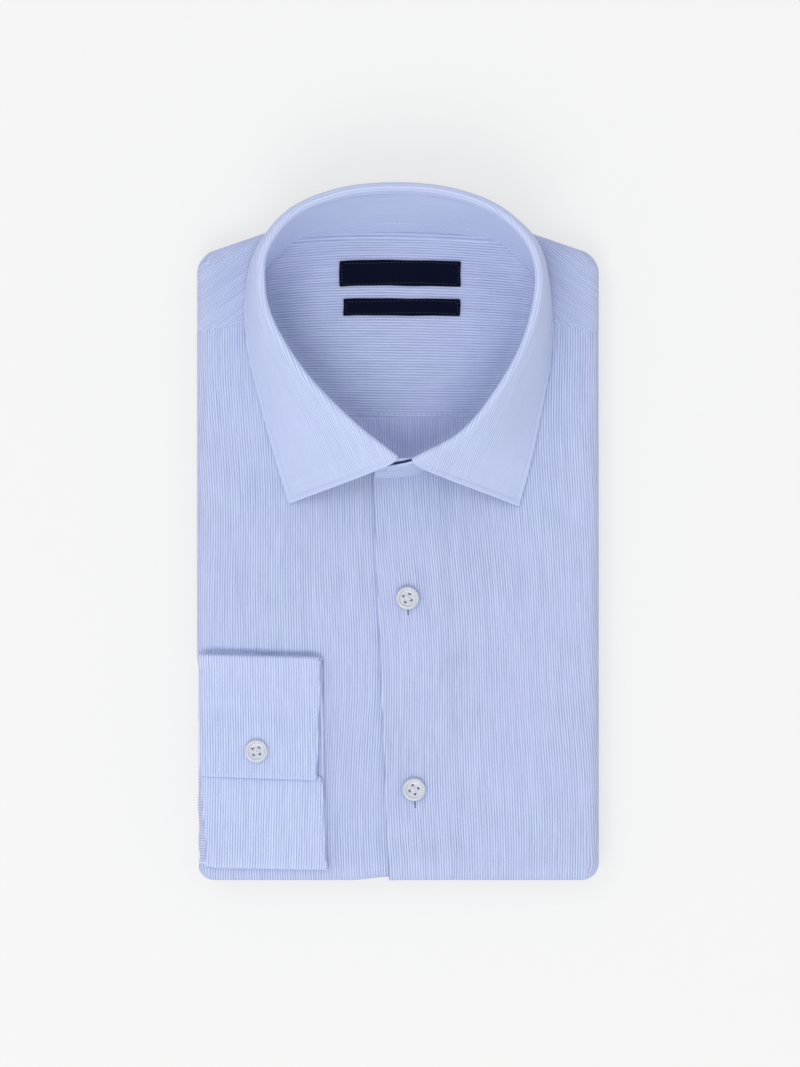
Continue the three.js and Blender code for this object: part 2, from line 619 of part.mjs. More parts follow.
// Cuff: a band once round with its ends lapped, pressed flat on the front
function cuff() {
  const path = CUFF_PATH.flatMap(({ y, level, turn }) => {
    if (!turn) {
      return [{ y, level }];
    }
    const middle = (LEVEL_TOP + LEVEL_UNDER) / 2;
    return Array.from({ length: CUFF_TURN_STEPS + 1 }, (unused, i) => {
      const angle = (Math.PI * i) / CUFF_TURN_STEPS;
      return {
        y: y - turn * FOLD_RADIUS * Math.sin(angle),
        level: middle - turn * FOLD_RADIUS * Math.cos(angle),
      };
    });
  });
  const grid = path.map(({ y, level }) => {
    const right = mix(CUFF_UNDER_RIGHT, CUFF_RIGHT, smooth(LEVEL_UNDER, LEVEL_TOP, level));
    const left = [CUFF_LEFT_TURN, CUFF_LEFT_TURN / 2, 0].map((past) => -FLAT_X - past);
    return [...left, ...steps(-FLAT_X + 10, right, 10)].map((a) => (
      liftOffBody(a, y, SKIN + level, packHeight)
    ));
  });
  return wallGeometry(grid, CUFF_CLOTH);
}

// Sleeve: the stretch that comes round the left edge from behind to the cuff
function sleeve() {
  const top = CUFF_TOP - 1.2;
  const bottom = CUFF_BOTTOM + 1.4;
  const lift = SKIN + LAYER_GAP + SLEEVE_CLOTH / 2;
  const half = WRAP / 2;
  const grid = steps(bottom, top, 13).map((b) => {
    const round = steps(CUFF_LEFT_TURN + 1.6, half, 1.2).map((past) => (
      liftOffBody(-FLAT_X - past, b, lift, packHeight)
    ));
    const side = round[round.length - 1];
    const floor = 0.4 + SLEEVE_CLOTH / 2;
    const down = [
      vector(side.x + 0.1, side.y, 9),
      vector(side.x + 0.3, side.y, 5),
      vector(side.x + 1.3, side.y, floor + 1.2),
      vector(side.x + 3.6, side.y, floor),
    ];
    return [...round, ...down];
  });
  return wallGeometry(grid, SLEEVE_CLOTH);
}

// Label: a flat strip on the yoke inside the neck
function label({ left, right, top, bottom }) {
  const lift = () => SKIN + SEAM_GAP;
  return layerGeometry(steps(left, right, 8), steps(bottom, top, 6.5), lift, LABEL_CLOTH, hollowHeight);
}

// Button: a turned disc with a raised rim, a dish and four holes
function buttonGeometry() {
  const { radius, rim, height, dish, hole, spread } = BUTTON;
  const profile = [
    [0, 0],
    [radius - 1, 0],
    [radius, height * 0.4],
    [radius - 0.25, height * 0.8],
    [radius - 0.9, height],
    [rim, height - dish * 0.3],
    [rim - 0.6, height - dish],
    [0, height - dish],
  ].map(([r, z]) => new THREE.Vector2(r, z));
  let disc = toManifold(new THREE.LatheGeometry(profile, 24).rotateX(Math.PI / 2));
  for (const [sideX, sideY] of [[1, 1], [1, -1], [-1, 1], [-1, -1]]) {
    const drill = new THREE.CylinderGeometry(hole, hole, height * 3, 8).rotateX(Math.PI / 2);
    disc = disc.subtract(toManifold(drill.translate(sideX * spread, sideY * spread, 0)));
  }
  return fromManifold(disc);
}

const onPlacket = (x, y) => packHeight(x, y) + 2 * SKIN + SEAM_GAP;
const onCuff = (x, y) => packHeight(x, y) + SKIN + LEVEL_LAP + CUFF_CLOTH / 2 + SEAM_GAP;
const BUTTONS = [
  { name: 'button_front_1', x: 4.75, y: -32.75, seat: onPlacket },
  { name: 'button_front_2', x: 8, y: -128.5, seat: onPlacket },
  { name: 'button_cuff', x: -70.75, y: -109.25, seat: onCuff },
];

// Materials
const clothMaterial = (color) => new THREE.MeshStandardMaterial({ color, roughness: 0.85, metalness: 0 });
const striped = clothMaterial(0xbcc8ec);
const stripedLight = clothMaterial(0xc3cff2);
const stripedInside = clothMaterial(0xa4afd0);
const navy = clothMaterial(0x111428);
const pearl = new THREE.MeshStandardMaterial({ color: 0xeef0ef, roughness: 0.25, metalness: 0 });

const shirt = new THREE.Group();

function add(name, geometry, material) {
  const mesh = new THREE.Mesh(geometry, material);
  mesh.name = name;
  shirt.add(mesh);
  return mesh;
}

add('folded_core', foldedCore(), striped);
add('front_right', frontRight(), striped);
add('front_left', frontLeft(), striped);
add('yoke', yoke(), striped);
add('back', back(), stripedInside);
add('collar_stand', collarStand(), stripedLight);
add('collar_leaf', collarLeaf(), stripedLight);
add('cuff', cuff(), striped);
add('sleeve', sleeve(), striped);
for (const row of LABELS) {
  add(row.name, label(row), navy);
}
for (const { name, x, y, seat } of BUTTONS) {
  add(name, buttonGeometry(), pearl).position.set(x, y, seat(x, y));
}

export default shirt;
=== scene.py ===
# Long sleeve dress shirt, folded flat, its collar standing and one cuff laid on the front.
# The shapes are worked out in millimetres, as in the CAD model, and MM turns them into metres.
import math
import bmesh
import bpy
import numpy as np
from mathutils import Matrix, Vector


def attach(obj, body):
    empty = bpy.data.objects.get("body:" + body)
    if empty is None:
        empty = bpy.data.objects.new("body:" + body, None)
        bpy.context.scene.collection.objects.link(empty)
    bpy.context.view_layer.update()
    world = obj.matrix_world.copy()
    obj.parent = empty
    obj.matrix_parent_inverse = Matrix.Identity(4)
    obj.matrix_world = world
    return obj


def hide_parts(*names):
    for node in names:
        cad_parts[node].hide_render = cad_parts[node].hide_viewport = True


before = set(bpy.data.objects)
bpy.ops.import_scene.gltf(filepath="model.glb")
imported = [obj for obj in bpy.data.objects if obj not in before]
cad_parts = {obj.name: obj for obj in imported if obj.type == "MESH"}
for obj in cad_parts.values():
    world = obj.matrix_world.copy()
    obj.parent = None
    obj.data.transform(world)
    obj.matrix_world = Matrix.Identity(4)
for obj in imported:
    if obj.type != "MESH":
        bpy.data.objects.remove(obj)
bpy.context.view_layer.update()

MM = 0.001

# Camera: straight above. Heights in metres, sensor and centre in millimetres
CAMERA_HEIGHT = 6.0
CLOTH_TOP = 0.02
FRAME_HEIGHT = 0.5335
SENSOR_HEIGHT = 36
PHOTO_CENTRE = (1.0, -0.5)

# Folded body, as in the CAD model
CLOTH = 1.2
LAYER_GAP = 0.5
SEAM_GAP = 0.3
SKIN = CLOTH + LAYER_GAP
SHOULDER_EDGE = 151.0
SHOULDER_AT = 63.0
SHOULDER_SLOPE = 0.345
NECK_RISE = 4.0
SLOPE_FROM = 60.0
BODY_HEIGHT = 17.3
RIM = 7.0
WRAP = 16.0
TUCK = 4.5
SLOT_TOP = 9.5
FLAT_X = 100.5 - SKIN - RIM
FLAT_TOP = SHOULDER_EDGE - SKIN - RIM
FLAT_BOTTOM = -174.0 + SKIN + RIM
SHOULDER_SEAM = 108.0
BACK_SEAM = 57.4
PLACKET_X = -12.3
PLACKET_Y = 29.8
PLACKET_SLANT = 0.041
PLACKET_LAP = 30.0
PLACKET_RAMP = 20.0
LAP_FADE = 9.0
WELL_DEPTH = 5.0
WELL_FROM = 1.0
WELL_TO = 11.0
NECK_BACK = 137.0

# Collar
STAND_FRONT = 27.0
STAND_BACK = 35.0
STAND_WALL = 1.3
LEAF_WALL = 1.1
LEAF_HANG = 41.0
ROLL = 1.6
ROLL_INSIDE = 3.0
NECK_STEPS = 160
COLLAR_STEPS = 240

# Cuff and sleeve
CUFF_WALL = 1.4
CUFF_TOP = -60.8
CUFF_BOTTOM = -167.0
CUFF_LAP_EDGE = -121.3
CUFF_UNDER_END = -103.0
LEVEL_UNDER = 1.25
LEVEL_TOP = 3.35
LEVEL_LAP = 5.15
FOLD_RADIUS = (LEVEL_TOP - LEVEL_UNDER) / 2
FOLD_TOP = CUFF_TOP - 0.75
FOLD_BOTTOM = CUFF_BOTTOM + 0.75
SLEEVE_PINCH = 2.2
CUFF_SIDE = 98

# Walls of the sheets that lie on the body
PLACKET_WALL = 1.1
SHEET_WALL = 0.85
LABEL_WALL = 0.7

# Soft swells of the folded pack: centre, half widths, height
SWELLS = [
    (0, -60, 95, 105, 1.6),
    (-58, 62, 34, 40, 0.8),
    (62, 40, 36, 44, 0.9),
]

# Main creases of the CAD model: ends, width, height above or below the cloth
MAIN_CREASES = [
    (-29, -66, -27, -172, 8, -1.1),
    (46, 46, 96, 14, 8, 0.9),
    (50, 28, 98, 0, 7, -0.8),
    (-94, 40, -58, 4, 9, 0.8),
    (-90, 12, -60, -30, 8, -0.7),
    (40, -110, 92, -152, 10, 0.7),
    (30, -60, 88, -84, 9, -0.7),
]

# Fine creases: ends, sideways bow, width, height above or below the cloth
FINE_CREASES = [
    # right half as seen, from the collar point down
    (58, 12, 97, -6, 3.0, 4.2, 0.42),
    (44, 2, 80, -22, -2.5, 5.0, -0.34),
    (70, -18, 101, -30, 2.0, 3.6, 0.36),
    (28, -16, 66, -46, 3.5, 6.0, 0.30),
    (60, -40, 99, -58, -2.0, 4.8, -0.30),
    (24, 10, 40, -30, -2.0, 5.2, 0.26),
    (82, 60, 99, 20, 2.5, 4.0, 0.40),
    (74, 88, 90, 52, -3.0, 4.6, -0.36),
    (34, -82, 60, -128, 4.0, 6.5, 0.30),
    (70, -92, 98, -112, 2.0, 5.0, 0.34),
    (52, -134, 84, -166, -3.0, 5.6, -0.32),
    (20, -140, 34, -172, 1.5, 4.6, 0.30),
    (88, -130, 100, -168, -2.0, 4.0, 0.36),
    # left half as seen
    (-92, 84, -72, 40, 2.5, 4.4, 0.40),
    (-98, 58, -76, 20, -2.0, 4.0, -0.34),
    (-84, 10, -44, -20, 3.0, 5.6, 0.34),
    (-99, -6, -70, -40, -2.5, 4.6, 0.34),
    (-62, -18, -30, -58, 2.0, 5.8, -0.30),
    (-36, 4, -18, -40, 2.0, 5.0, 0.26),
    (-94, -44, -50, -50, -1.5, 3.8, -0.42),
    (-23, -70, -19, -150, 1.5, 4.4, 0.36),
    (-34, -64, -36, -118, -1.0, 3.0, 0.30),
    (-33, -70, -31.5, -169, 0.0, 4.2, -1.0),
    (-26, -84, -24, -160, 1.0, 3.2, 0.35),
    # shoulders
    (-96, 118, -76, 134, 2.0, 4.0, 0.34),
    (-90, 112, -78, 124, -1.5, 3.2, -0.28),
    (82, 116, 97, 128, 2.0, 3.8, 0.32),
    (78, 130, 92, 120, 1.5, 3.4, -0.28),
    # inside the neck
    (-46, 96, -10, 92, 2.0, 4.4, 0.34),
    (14, 98, 50, 88, -2.5, 5.0, 0.32),
    (-34, 76, 4, 70, 2.5, 4.6, -0.32),
    (2, 52, 22, 66, -2.0, 4.0, 0.36),
    (-20, 50, -6, 38, 1.5, 3.2, -0.34),
    (-48, 118, -36, 142, 2.0, 3.8, 0.32),
    (40, 122, 52, 104, -2.0, 4.0, -0.32),
]

# Collar, from its left corner as seen, round the back, to its right corner:
# top of the fold x y, free edge x y, seam to the neck x y, and how far the edge rests on the shirt
COLLAR = [
    (-1.2, 36.4, -54.2, 15.0, -1.5, 32.2, 1.0),
    (-24.6, 55.2, -60.0, 34.0, -28.5, 51.5, 1.0),
    (-49.8, 82.0, -67.5, 61.0, -54.5, 79.5, 1.0),
    (-65.6, 110.2, -75.2, 95.0, -70.0, 109.0, 1.0),
    (-68.1, 129.0, -75.6, 121.0, -69.5, 127.0, 1.0),
    (-66.5, 140.5, -71.0, 140.5, -61.0, 138.0, 1.0),
    (-54.0, 157.7, -55.8, 159.6, -50.0, 147.5, 0.1),
    (-31.3, 168.3, -32.1, 170.4, -30.5, 152.0, 0.0),
    (-1.0, 171.8, -1.0, 174.0, -0.5, 153.6, 0.0),
    (27.9, 168.7, 28.6, 170.9, 27.0, 152.3, 0.0),
    (50.4, 159.6, 52.1, 161.6, 48.0, 147.0, 0.1),
    (65.8, 144.0, 69.6, 144.6, 61.0, 137.5, 0.9),
    (70.2, 127.0, 75.9, 119.0, 71.0, 124.0, 1.0),
    (64.9, 98.6, 76.2, 90.0, 69.5, 97.0, 1.0),
    (51.3, 72.0, 72.0, 64.0, 56.0, 69.0, 1.0),
    (32.4, 49.0, 67.0, 39.5, 36.5, 45.0, 1.0),
    (8.0, 35.3, 60.2, 13.7, 10.0, 29.9, 1.0),
]

# The stand's ends past the leaf's corners: top x y, foot x y, height
STAND_UNDER_END = [
    (11.5, 38.6, 11.5, 35.0, 17.5),
    (7.5, 37.2, 7.5, 33.6, 21.5),
    (3.0, 36.6, 3.0, 32.7, 24.8),
]
STAND_TOP_END = [
    (4.0, 34.2, 4.0, 28.7, 25.5),
    (-2.0, 33.3, -2.0, 28.0, 23.0),
    (-7.5, 33.1, -7.5, 27.9, 18.5),
    (-11.0, 33.0, -11.4, 28.2, 11.0),
]


# Helpers on arrays

def mix(start, stop, share):
    return start + (stop - start) * share


def smooth(start, stop, value):
    share = np.clip((value - start) / (stop - start), 0.0, 1.0)
    return share * share * (3.0 - 2.0 * share)


def unit(vectors):
    length = np.linalg.norm(vectors, axis=-1, keepdims=True)
    return vectors / np.maximum(length, 1e-9)


def steps(start, stop, size):
    count = max(1, round(abs(stop - start) / size))
    return np.linspace(start, stop, count + 1)


def running_length(points, axis=0):
    """Length so far along a line of places, or along each row or column of a grid of them."""
    gaps = np.linalg.norm(np.diff(points, axis=axis), axis=-1)
    start = np.zeros_like(np.take(gaps, [0], axis=axis))
    return np.concatenate([start, np.cumsum(gaps, axis=axis)], axis=axis)


def through_rows(rows, positions):
    """Centripetal Catmull-Rom curve through rows of numbers. positions counts in rows, or is the
    number of equal steps."""
    rows = np.array(rows, dtype=float)
    if np.isscalar(positions):
        positions = np.linspace(0, len(rows) - 1, positions + 1)
    first = 2 * rows[0] - rows[1]
    last = 2 * rows[-1] - rows[-2]
    padded = np.vstack([first, rows, last])
    places = []
    for position in positions:
        whole = min(int(position), len(rows) - 2)
        share = position - whole
        p0, p1, p2, p3 = padded[whole:whole + 4]
        gap0 = math.sqrt(np.linalg.norm(p1 - p0))
        gap1 = math.sqrt(np.linalg.norm(p2 - p1))
        gap2 = math.sqrt(np.linalg.norm(p3 - p2))
        slope1 = ((p1 - p0) / gap0 - (p2 - p0) / (gap0 + gap1) + (p2 - p1) / gap1) * gap1
        slope2 = ((p2 - p1) / gap1 - (p3 - p1) / (gap1 + gap2) + (p3 - p2) / gap2) * gap1
        cubic = 2 * p1 - 2 * p2 + slope1 + slope2
        square = -3 * p1 + 3 * p2 - 2 * slope1 - slope2
        places.append(p1 + slope1 * share + square * share ** 2 + cubic * share ** 3)
    return np.array(places)


def distance_to_loop(x, y, points):
    """Distance from many places to a closed line."""
    best = np.full(np.shape(x), np.inf)
    for start, end in zip(points, np.roll(points, -1, axis=0)):
        dx, dy = end - start
        along = ((x - start[0]) * dx + (y - start[1]) * dy) / (dx * dx + dy * dy)
        along = np.clip(along, 0.0, 1.0)
        away = np.hypot(x - start[0] - along * dx, y - start[1] - along * dy)
        best = np.minimum(best, away)
    return best


def is_inside(x, y, points):
    inside = np.zeros(np.shape(x), dtype=bool)
    for start, end in zip(points, np.roll(points, -1, axis=0)):
        if start[1] == end[1]:
            continue
        crosses = (start[1] > y) != (end[1] > y)
        at = start[0] + (y - start[1]) / (end[1] - start[1]) * (end[0] - start[0])
        inside ^= crosses & (x < at)
    return inside


# Shape of the folded body

NECK = through_rows([row[4:6] for row in COLLAR], NECK_STEPS)
NECK_LEFT = NECK[:NECK_STEPS // 2 + 1]
NECK_RIGHT = NECK[NECK_STEPS // 2:][::-1]


def neck_left(y):
    """Where the neck's left side stands at a height up the shirt."""
    return np.interp(np.minimum(y, NECK_BACK), NECK_LEFT[:, 1], NECK_LEFT[:, 0])


def neck_right(y):
    return np.interp(np.minimum(y, NECK_BACK), NECK_RIGHT[:, 1], NECK_RIGHT[:, 0])


def neck_front(x):
    """How far up the shirt the front's neck edge lies, from the seam's lower half."""
    left = NECK_LEFT[NECK_LEFT[:, 0] < NECK_LEFT[0, 0] + 0.01]
    left = left[:int(np.argmin(left[:, 0])) + 1][::-1]
    right = NECK_RIGHT[:int(np.argmax(NECK_RIGHT[:, 0])) + 1]
    both = np.vstack([left, right])
    return np.interp(x, both[:, 0], both[:, 1])


def line_away(x, y, x1, y1, x2, y2):
    """Place along a line, 0 to 1 between its ends, and signed distance to it."""
    dx = x2 - x1
    dy = y2 - y1
    length = math.hypot(dx, dy)
    along = ((x - x1) * dx + (y - y1) * dy) / length ** 2
    away = ((y - y1) * dx - (x - x1) * dy) / length
    return along, away, length


def pack_height(x, y):
    """Top of the hidden layers, with the folded shirt's creases."""
    height = np.full(np.shape(x), BODY_HEIGHT)
    for middle_x, middle_y, wide, long, rise in SWELLS:
        away = np.hypot((x - middle_x) / wide, (y - middle_y) / long)
        height = height + rise * (1 - smooth(0, 1, away))
    for x1, y1, x2, y2, width, rise in MAIN_CREASES:
        along, away, length = line_away(x, y, x1, y1, x2, y2)
        past = np.maximum(np.maximum(-along, along - 1), 0) * length
        height = height + rise * np.exp(-(away ** 2 + past ** 2) / width ** 2)
    for x1, y1, x2, y2, bow, width, rise in FINE_CREASES:
        along, away, length = line_away(x, y, x1, y1, x2, y2)
        away = away - bow * 4 * along * (1 - along)
        fade = smooth(-0.1, 0.4, along) * smooth(1.15, 0.6, along)
        height = height + rise * fade * np.exp(-(away / width) ** 2)
    return height


def hollow_height(x, y):
    """The same, pressed down inside the neck."""
    height = pack_height(x, y)
    inside = is_inside(x, y, NECK)
    down = WELL_DEPTH * smooth(WELL_FROM, WELL_TO, distance_to_loop(x, y, NECK))
    return height - np.where(inside, down, 0.0)


def top_edge(x):
    away = np.abs(x)
    sloped = SHOULDER_EDGE - (away - SHOULDER_AT) * SHOULDER_SLOPE
    risen = SHOULDER_EDGE + NECK_RISE * (1 - (away / SHOULDER_AT) ** 2)
    return np.where(away > SHOULDER_AT, sloped, risen)


def slope_shoulder(x, y):
    return y + (top_edge(x) - SHOULDER_EDGE) * smooth(SLOPE_FROM, FLAT_TOP, y)


def pinch(x, y):
    along = smooth(CUFF_TOP - 1, CUFF_TOP - 8, y) * smooth(CUFF_BOTTOM - 4, CUFF_BOTTOM + 8, y)
    return x + SLEEVE_PINCH * along * smooth(60, FLAT_X, -x)


def placket_edge(b):
    return PLACKET_X + (PLACKET_Y - b) * PLACKET_SLANT


def lap_share(a, b):
    return 1 - smooth(PLACKET_LAP, PLACKET_LAP + LAP_FADE, a - placket_edge(b))


def press_bottom(x, y):
    doubled = smooth(-PLACKET_RAMP, 0, x - placket_edge(y)) * lap_share(x, y)
    return y + SKIN * doubled * smooth(-150.0, FLAT_BOTTOM, y)


def edge_reach(length):
    """How far out the cloth is after some length past the flat middle, and its turn so far."""
    turn = math.pi * np.minimum(length, WRAP) / WRAP
    reach = np.where(turn < math.pi / 2, RIM * np.sin(turn), RIM - TUCK * (1 - np.sin(turn)))
    return reach, turn


def true_length_table():
    length = np.linspace(0, WRAP, 161)
    reach, turn = edge_reach(length)
    up = (BODY_HEIGHT - SLOT_TOP) * (1 + np.cos(turn)) / 2
    return length, np.concatenate([[0], np.cumsum(np.hypot(np.diff(reach), np.diff(up)))])


EDGE_LENGTH, EDGE_CLOTH = true_length_table()


def true_across(a):
    """Millimetres of cloth from the middle line, measured round the edge."""
    over = np.maximum(np.abs(a) - FLAT_X, 0)
    return np.sign(a) * (np.minimum(np.abs(a), FLAT_X) + np.interp(over, EDGE_LENGTH, EDGE_CLOTH))


def true_along(b):
    """The same up the shirt."""
    over = np.maximum(b - FLAT_TOP, 0)
    under = np.maximum(FLAT_BOTTOM - b, 0)
    middle = np.clip(b, FLAT_BOTTOM, FLAT_TOP)
    return middle + np.interp(over, EDGE_LENGTH, EDGE_CLOTH) - np.interp(under, EDGE_LENGTH, EDGE_CLOTH)


def fold_direction(a, b):
    """Nearest place of the flat middle, cloth past it, and the way out over the edge."""
    middle_x = np.clip(a, -FLAT_X, FLAT_X)
    middle_y = np.clip(b, FLAT_BOTTOM, FLAT_TOP)
    over_x = np.abs(a - middle_x)
    over_y = np.abs(b - middle_y)
    length = np.maximum(over_x, over_y)
    ratio = np.minimum(over_x, over_y) / np.maximum(length, 1e-9)
    angle = np.where(over_x >= over_y, math.pi / 4 * ratio, math.pi / 2 - math.pi / 4 * ratio)
    out_x = np.sign(a) * np.cos(angle) * (length > 0)
    out_y = np.sign(b - middle_y) * np.sin(angle) * (length > 0)
    return middle_x, middle_y, length, out_x, out_y


def place_on_body(a, b, height_at):
    """Place on the folded body of a point of flat cloth: a across, b up the shirt."""
    middle_x, middle_y, length, out_x, out_y = fold_direction(a, b)
    top = height_at(middle_x, slope_shoulder(middle_x, middle_y))
    reach, turn = edge_reach(length)
    out = reach - np.maximum(length - WRAP, 0)
    up = SLOT_TOP + (top - SLOT_TOP) * (1 + np.cos(turn)) / 2
    x = middle_x + out_x * out
    y = middle_y + out_y * out
    return np.stack([pinch(x, y), press_bottom(x, slope_shoulder(x, y)), up], axis=-1)


def lift_off_body(a, b, lift, height_at):
    """The same place lifted off the body: straight up over the flat middle, else along the normal."""
    reach = 0.4
    place = place_on_body(a, b, height_at)
    in_middle = (np.abs(a) <= FLAT_X) & (b >= FLAT_BOTTOM) & (b <= FLAT_TOP)
    across = place_on_body(a + reach, b, height_at) - place_on_body(a - reach, b, height_at)
    along = place_on_body(a, b + reach, height_at) - place_on_body(a, b - reach, height_at)
    normal = unit(np.cross(across, along))
    normal[in_middle] = (0.0, 0.0, 1.0)
    return place + normal * np.asarray(lift)[..., None]


def top_of_shirt(x, y):
    """Top of the shirt under the collar."""
    over_fronts = 1 - smooth(SHOULDER_SEAM - 50, SHOULDER_SEAM - 40, y)
    past_edge = smooth(-5, -1, x - placket_edge(y))
    return pack_height(x, y) + SKIN * (1 + over_fronts * past_edge * lap_share(x, y))


# Mesh building

def rim_ring(rows, columns):
    """Rows and columns of a grid's rim, once round."""
    first = [(0, j) for j in range(columns - 1)]
    right = [(i, columns - 1) for i in range(rows - 1)]
    last = [(rows - 1, j) for j in range(columns - 1, 0, -1)]
    left = [(i, 0) for i in range(rows - 1, 0, -1)]
    return np.array(first + right + last + left)


def grid_quads(index):
    """Faces of a grid of vertex numbers."""
    quads = np.stack([index[:-1, :-1], index[:-1, 1:], index[1:, 1:], index[1:, :-1]], axis=-1)
    return quads.reshape(-1, 4)


def loop_quads(upper, lower):
    """Faces between two closed loops of equal length."""
    return np.stack([np.roll(upper, -1), upper, lower, np.roll(lower, -1)], axis=-1)


def shell(outer, inner, cloth):
    """Thin cloth between two grids, its edge rounded. Gives places, faces and cloth marks."""
    rows, columns = outer.shape[:2]
    count = rows * columns
    index = np.arange(count).reshape(rows, columns)
    upper = grid_quads(index)
    faces = [upper, upper[:, ::-1] + count]
    outer = outer.reshape(-1, 3)
    inner = inner.reshape(-1, 3)
    marks = cloth.reshape(-1, 3)
    ring = rim_ring(rows, columns)
    at = index[ring[:, 0], ring[:, 1]]
    within = index[np.clip(ring[:, 0], 1, rows - 2), np.clip(ring[:, 1], 1, columns - 2)]
    middle = (outer[at] + inner[at]) / 2
    half = (outer[at] - inner[at]) / 2
    size = np.linalg.norm(half, axis=-1, keepdims=True)
    outward = unit(middle - (outer[within] + inner[within]) / 2)
    across = unit(half)
    outward = unit(outward - across * np.sum(outward * across, axis=-1, keepdims=True))
    places = [outer, inner]
    all_marks = [marks, marks]
    loops = [at]
    for angle in (40, 90, 140):
        turn = math.radians(angle)
        start = 2 * count + len(at) * (len(loops) - 1)
        places.append(middle + half * math.cos(turn) + outward * size * math.sin(turn))
        all_marks.append(marks[at])
        loops.append(start + np.arange(len(at)))
    loops.append(at + count)
    faces.extend(loop_quads(one, two) for one, two in zip(loops, loops[1:]))
    return np.vstack(places), np.vstack(faces), np.vstack(all_marks)


def grid_normals(grid):
    down = np.gradient(grid, axis=0)
    side = np.gradient(grid, axis=1)
    return unit(np.cross(down, side))


def wall_shell(grid, wall, cloth):
    """Cloth of a given thickness round a grid of middle places."""
    normal = grid_normals(grid)
    return shell(grid + normal * wall / 2, grid - normal * wall / 2, cloth)


def volume_of(places, faces):
    p, q, r, s = (places[faces[:, k]] for k in range(4))
    first = np.sum(p * np.cross(q, r))
    second = np.sum(p * np.cross(r, s))
    return (first + second) / 6


def outwards(part):
    places, faces, marks = part
    if volume_of(places, faces) < 0:
        faces = faces[:, ::-1]
    return places, faces, marks


def new_object(name, data):
    made = bpy.data.objects.new(name, data)
    bpy.context.scene.collection.objects.link(made)
    return made


def smooth_mesh(name, places, faces):
    """Smooth-shaded mesh from places in millimetres."""
    mesh = bpy.data.meshes.new(name)
    mesh.from_pydata((np.vstack(places) * MM).tolist(), [], faces)
    mesh.polygons.foreach_set("use_smooth", [True] * len(mesh.polygons))
    return mesh


def cloth_object(name, parts, materials, caps=()):
    """One piece from its stretches; cloth marks go along as the attribute cloth, in millimetres.
    materials is one for all stretches, or one for each."""
    if not isinstance(materials, (list, tuple)):
        materials = [materials] * len(parts)
    places = []
    faces = []
    marks = []
    total = 0
    chosen = []
    distinct = list(dict.fromkeys(materials))
    for part, material in zip(parts, materials):
        some_places, some_faces, some_marks = outwards(part)
        places.append(some_places)
        faces.extend((some_faces + total).tolist())
        marks.append(some_marks)
        chosen.extend([distinct.index(material)] * len(some_faces))
        total += len(some_places)
    faces.extend(caps)
    chosen.extend([0] * len(caps))
    mesh = smooth_mesh(name, places, faces)
    store = mesh.attributes.new("cloth", "FLOAT_VECTOR", "POINT")
    store.data.foreach_set("vector", np.vstack(marks).ravel())
    for material in distinct:
        mesh.materials.append(material)
    mesh.polygons.foreach_set("material_index", chosen)
    return new_object(name, mesh)


def cloth_marks(across, along, depth=0.0):
    """Marks on cloth: across the stripes, along them, and a third number for shading."""
    across = np.asarray(across, dtype=float)
    return np.stack([across, along + 0 * across, depth + 0 * across], axis=-1)


def body_sheet(a, b, lift, thick, height_at, across, along):
    """Sheet lying on the body; lift is its outer face."""
    outer = lift_off_body(a, b, lift, height_at)
    inner = lift_off_body(a, b, lift - thick, height_at)
    return shell(outer, inner, cloth_marks(across, along))


def grid_of(columns, rows):
    return np.meshgrid(np.linspace(0, 1, columns), np.linspace(0, 1, rows))


def cuff_trough(a, b):
    """The front sinks beside the cuff's upper fold, most at the edge of the body."""
    depth = 2.6 * smooth(-36, -45, a) * smooth(-FLAT_X - 7, -FLAT_X, a)
    away = b + 59.9 + 0.024 * (a + CUFF_SIDE)
    width = np.where(away > 0, mix(1.5, 2.4, smooth(-45, -95, a)), 1.2)
    return depth * np.exp(-(away / width) ** 2)


AVERAGE_EACH_WAY = 12


def measured_from(places, a, reference, averages):
    """Millimetres of cloth along each row of a grid, from where a passes a reference."""
    walked = running_length(places[..., (0, 2)], 1)
    order = 1 if a[0, -1] > a[0, 0] else -1
    start = [np.interp(reference, a[row][::order], walked[row][::order]) for row in range(len(a))]
    across = (walked - np.array(start)[:, None]) * order
    # Woven stripes run straight past small creases, so neighbouring rows are averaged
    span = 2 * AVERAGE_EACH_WAY + 1
    for repeat in range(averages):
        before = [across[:1]] * AVERAGE_EACH_WAY
        after = [across[-1:]] * AVERAGE_EACH_WAY
        padded = np.concatenate(before + [across] + after)
        sums = np.concatenate([np.zeros((1, padded.shape[1])), np.cumsum(padded, axis=0)])
        across = (sums[span:] - sums[:-span]) / span
    return across


def stripe_drift(a, b):
    """Slow wander of the stripes where the cloth is pulled, in millimetres."""
    pulled = 1.1 * np.sin(b / 37 + a / 60) + 0.7 * np.sin(b / 21 - a / 33 + 1.3)
    return pulled * smooth(0, 40, FLAT_TOP - b)


# Fronts

def front_top(a):
    """End of a front: the shoulder seam, or the neck where that is lower."""
    y = neck_front(a) + 1.2
    up_the_cloth = y - (top_edge(a) - SHOULDER_EDGE) * smooth(SLOPE_FROM, FLAT_TOP, y)
    return np.minimum(up_the_cloth, SHOULDER_SEAM - SEAM_GAP / 2)


def build_front_left(material):
    u, v = grid_of(86, 206)
    edge = FLAT_X + WRAP
    a = mix(placket_edge(-70.0), edge, u)
    b = mix(FLAT_BOTTOM - WRAP, front_top(a), v)
    a = mix(placket_edge(b), edge, u)
    roll = 0.25 * np.exp(-((a - placket_edge(b)) / 3.0) ** 2)
    lift = LAYER_GAP + SKIN * lap_share(a, b) + CLOTH + roll
    outer = lift_off_body(a, b, lift, pack_height)
    inner = lift_off_body(a, b, lift - PLACKET_WALL, pack_height)
    across = measured_from(outer, a, 40.0, 3) + 0.041 * b + stripe_drift(a, b)
    sheet = shell(outer, inner, cloth_marks(across, true_along(b)))
    return cloth_object("front_left_cloth", [sheet], material)


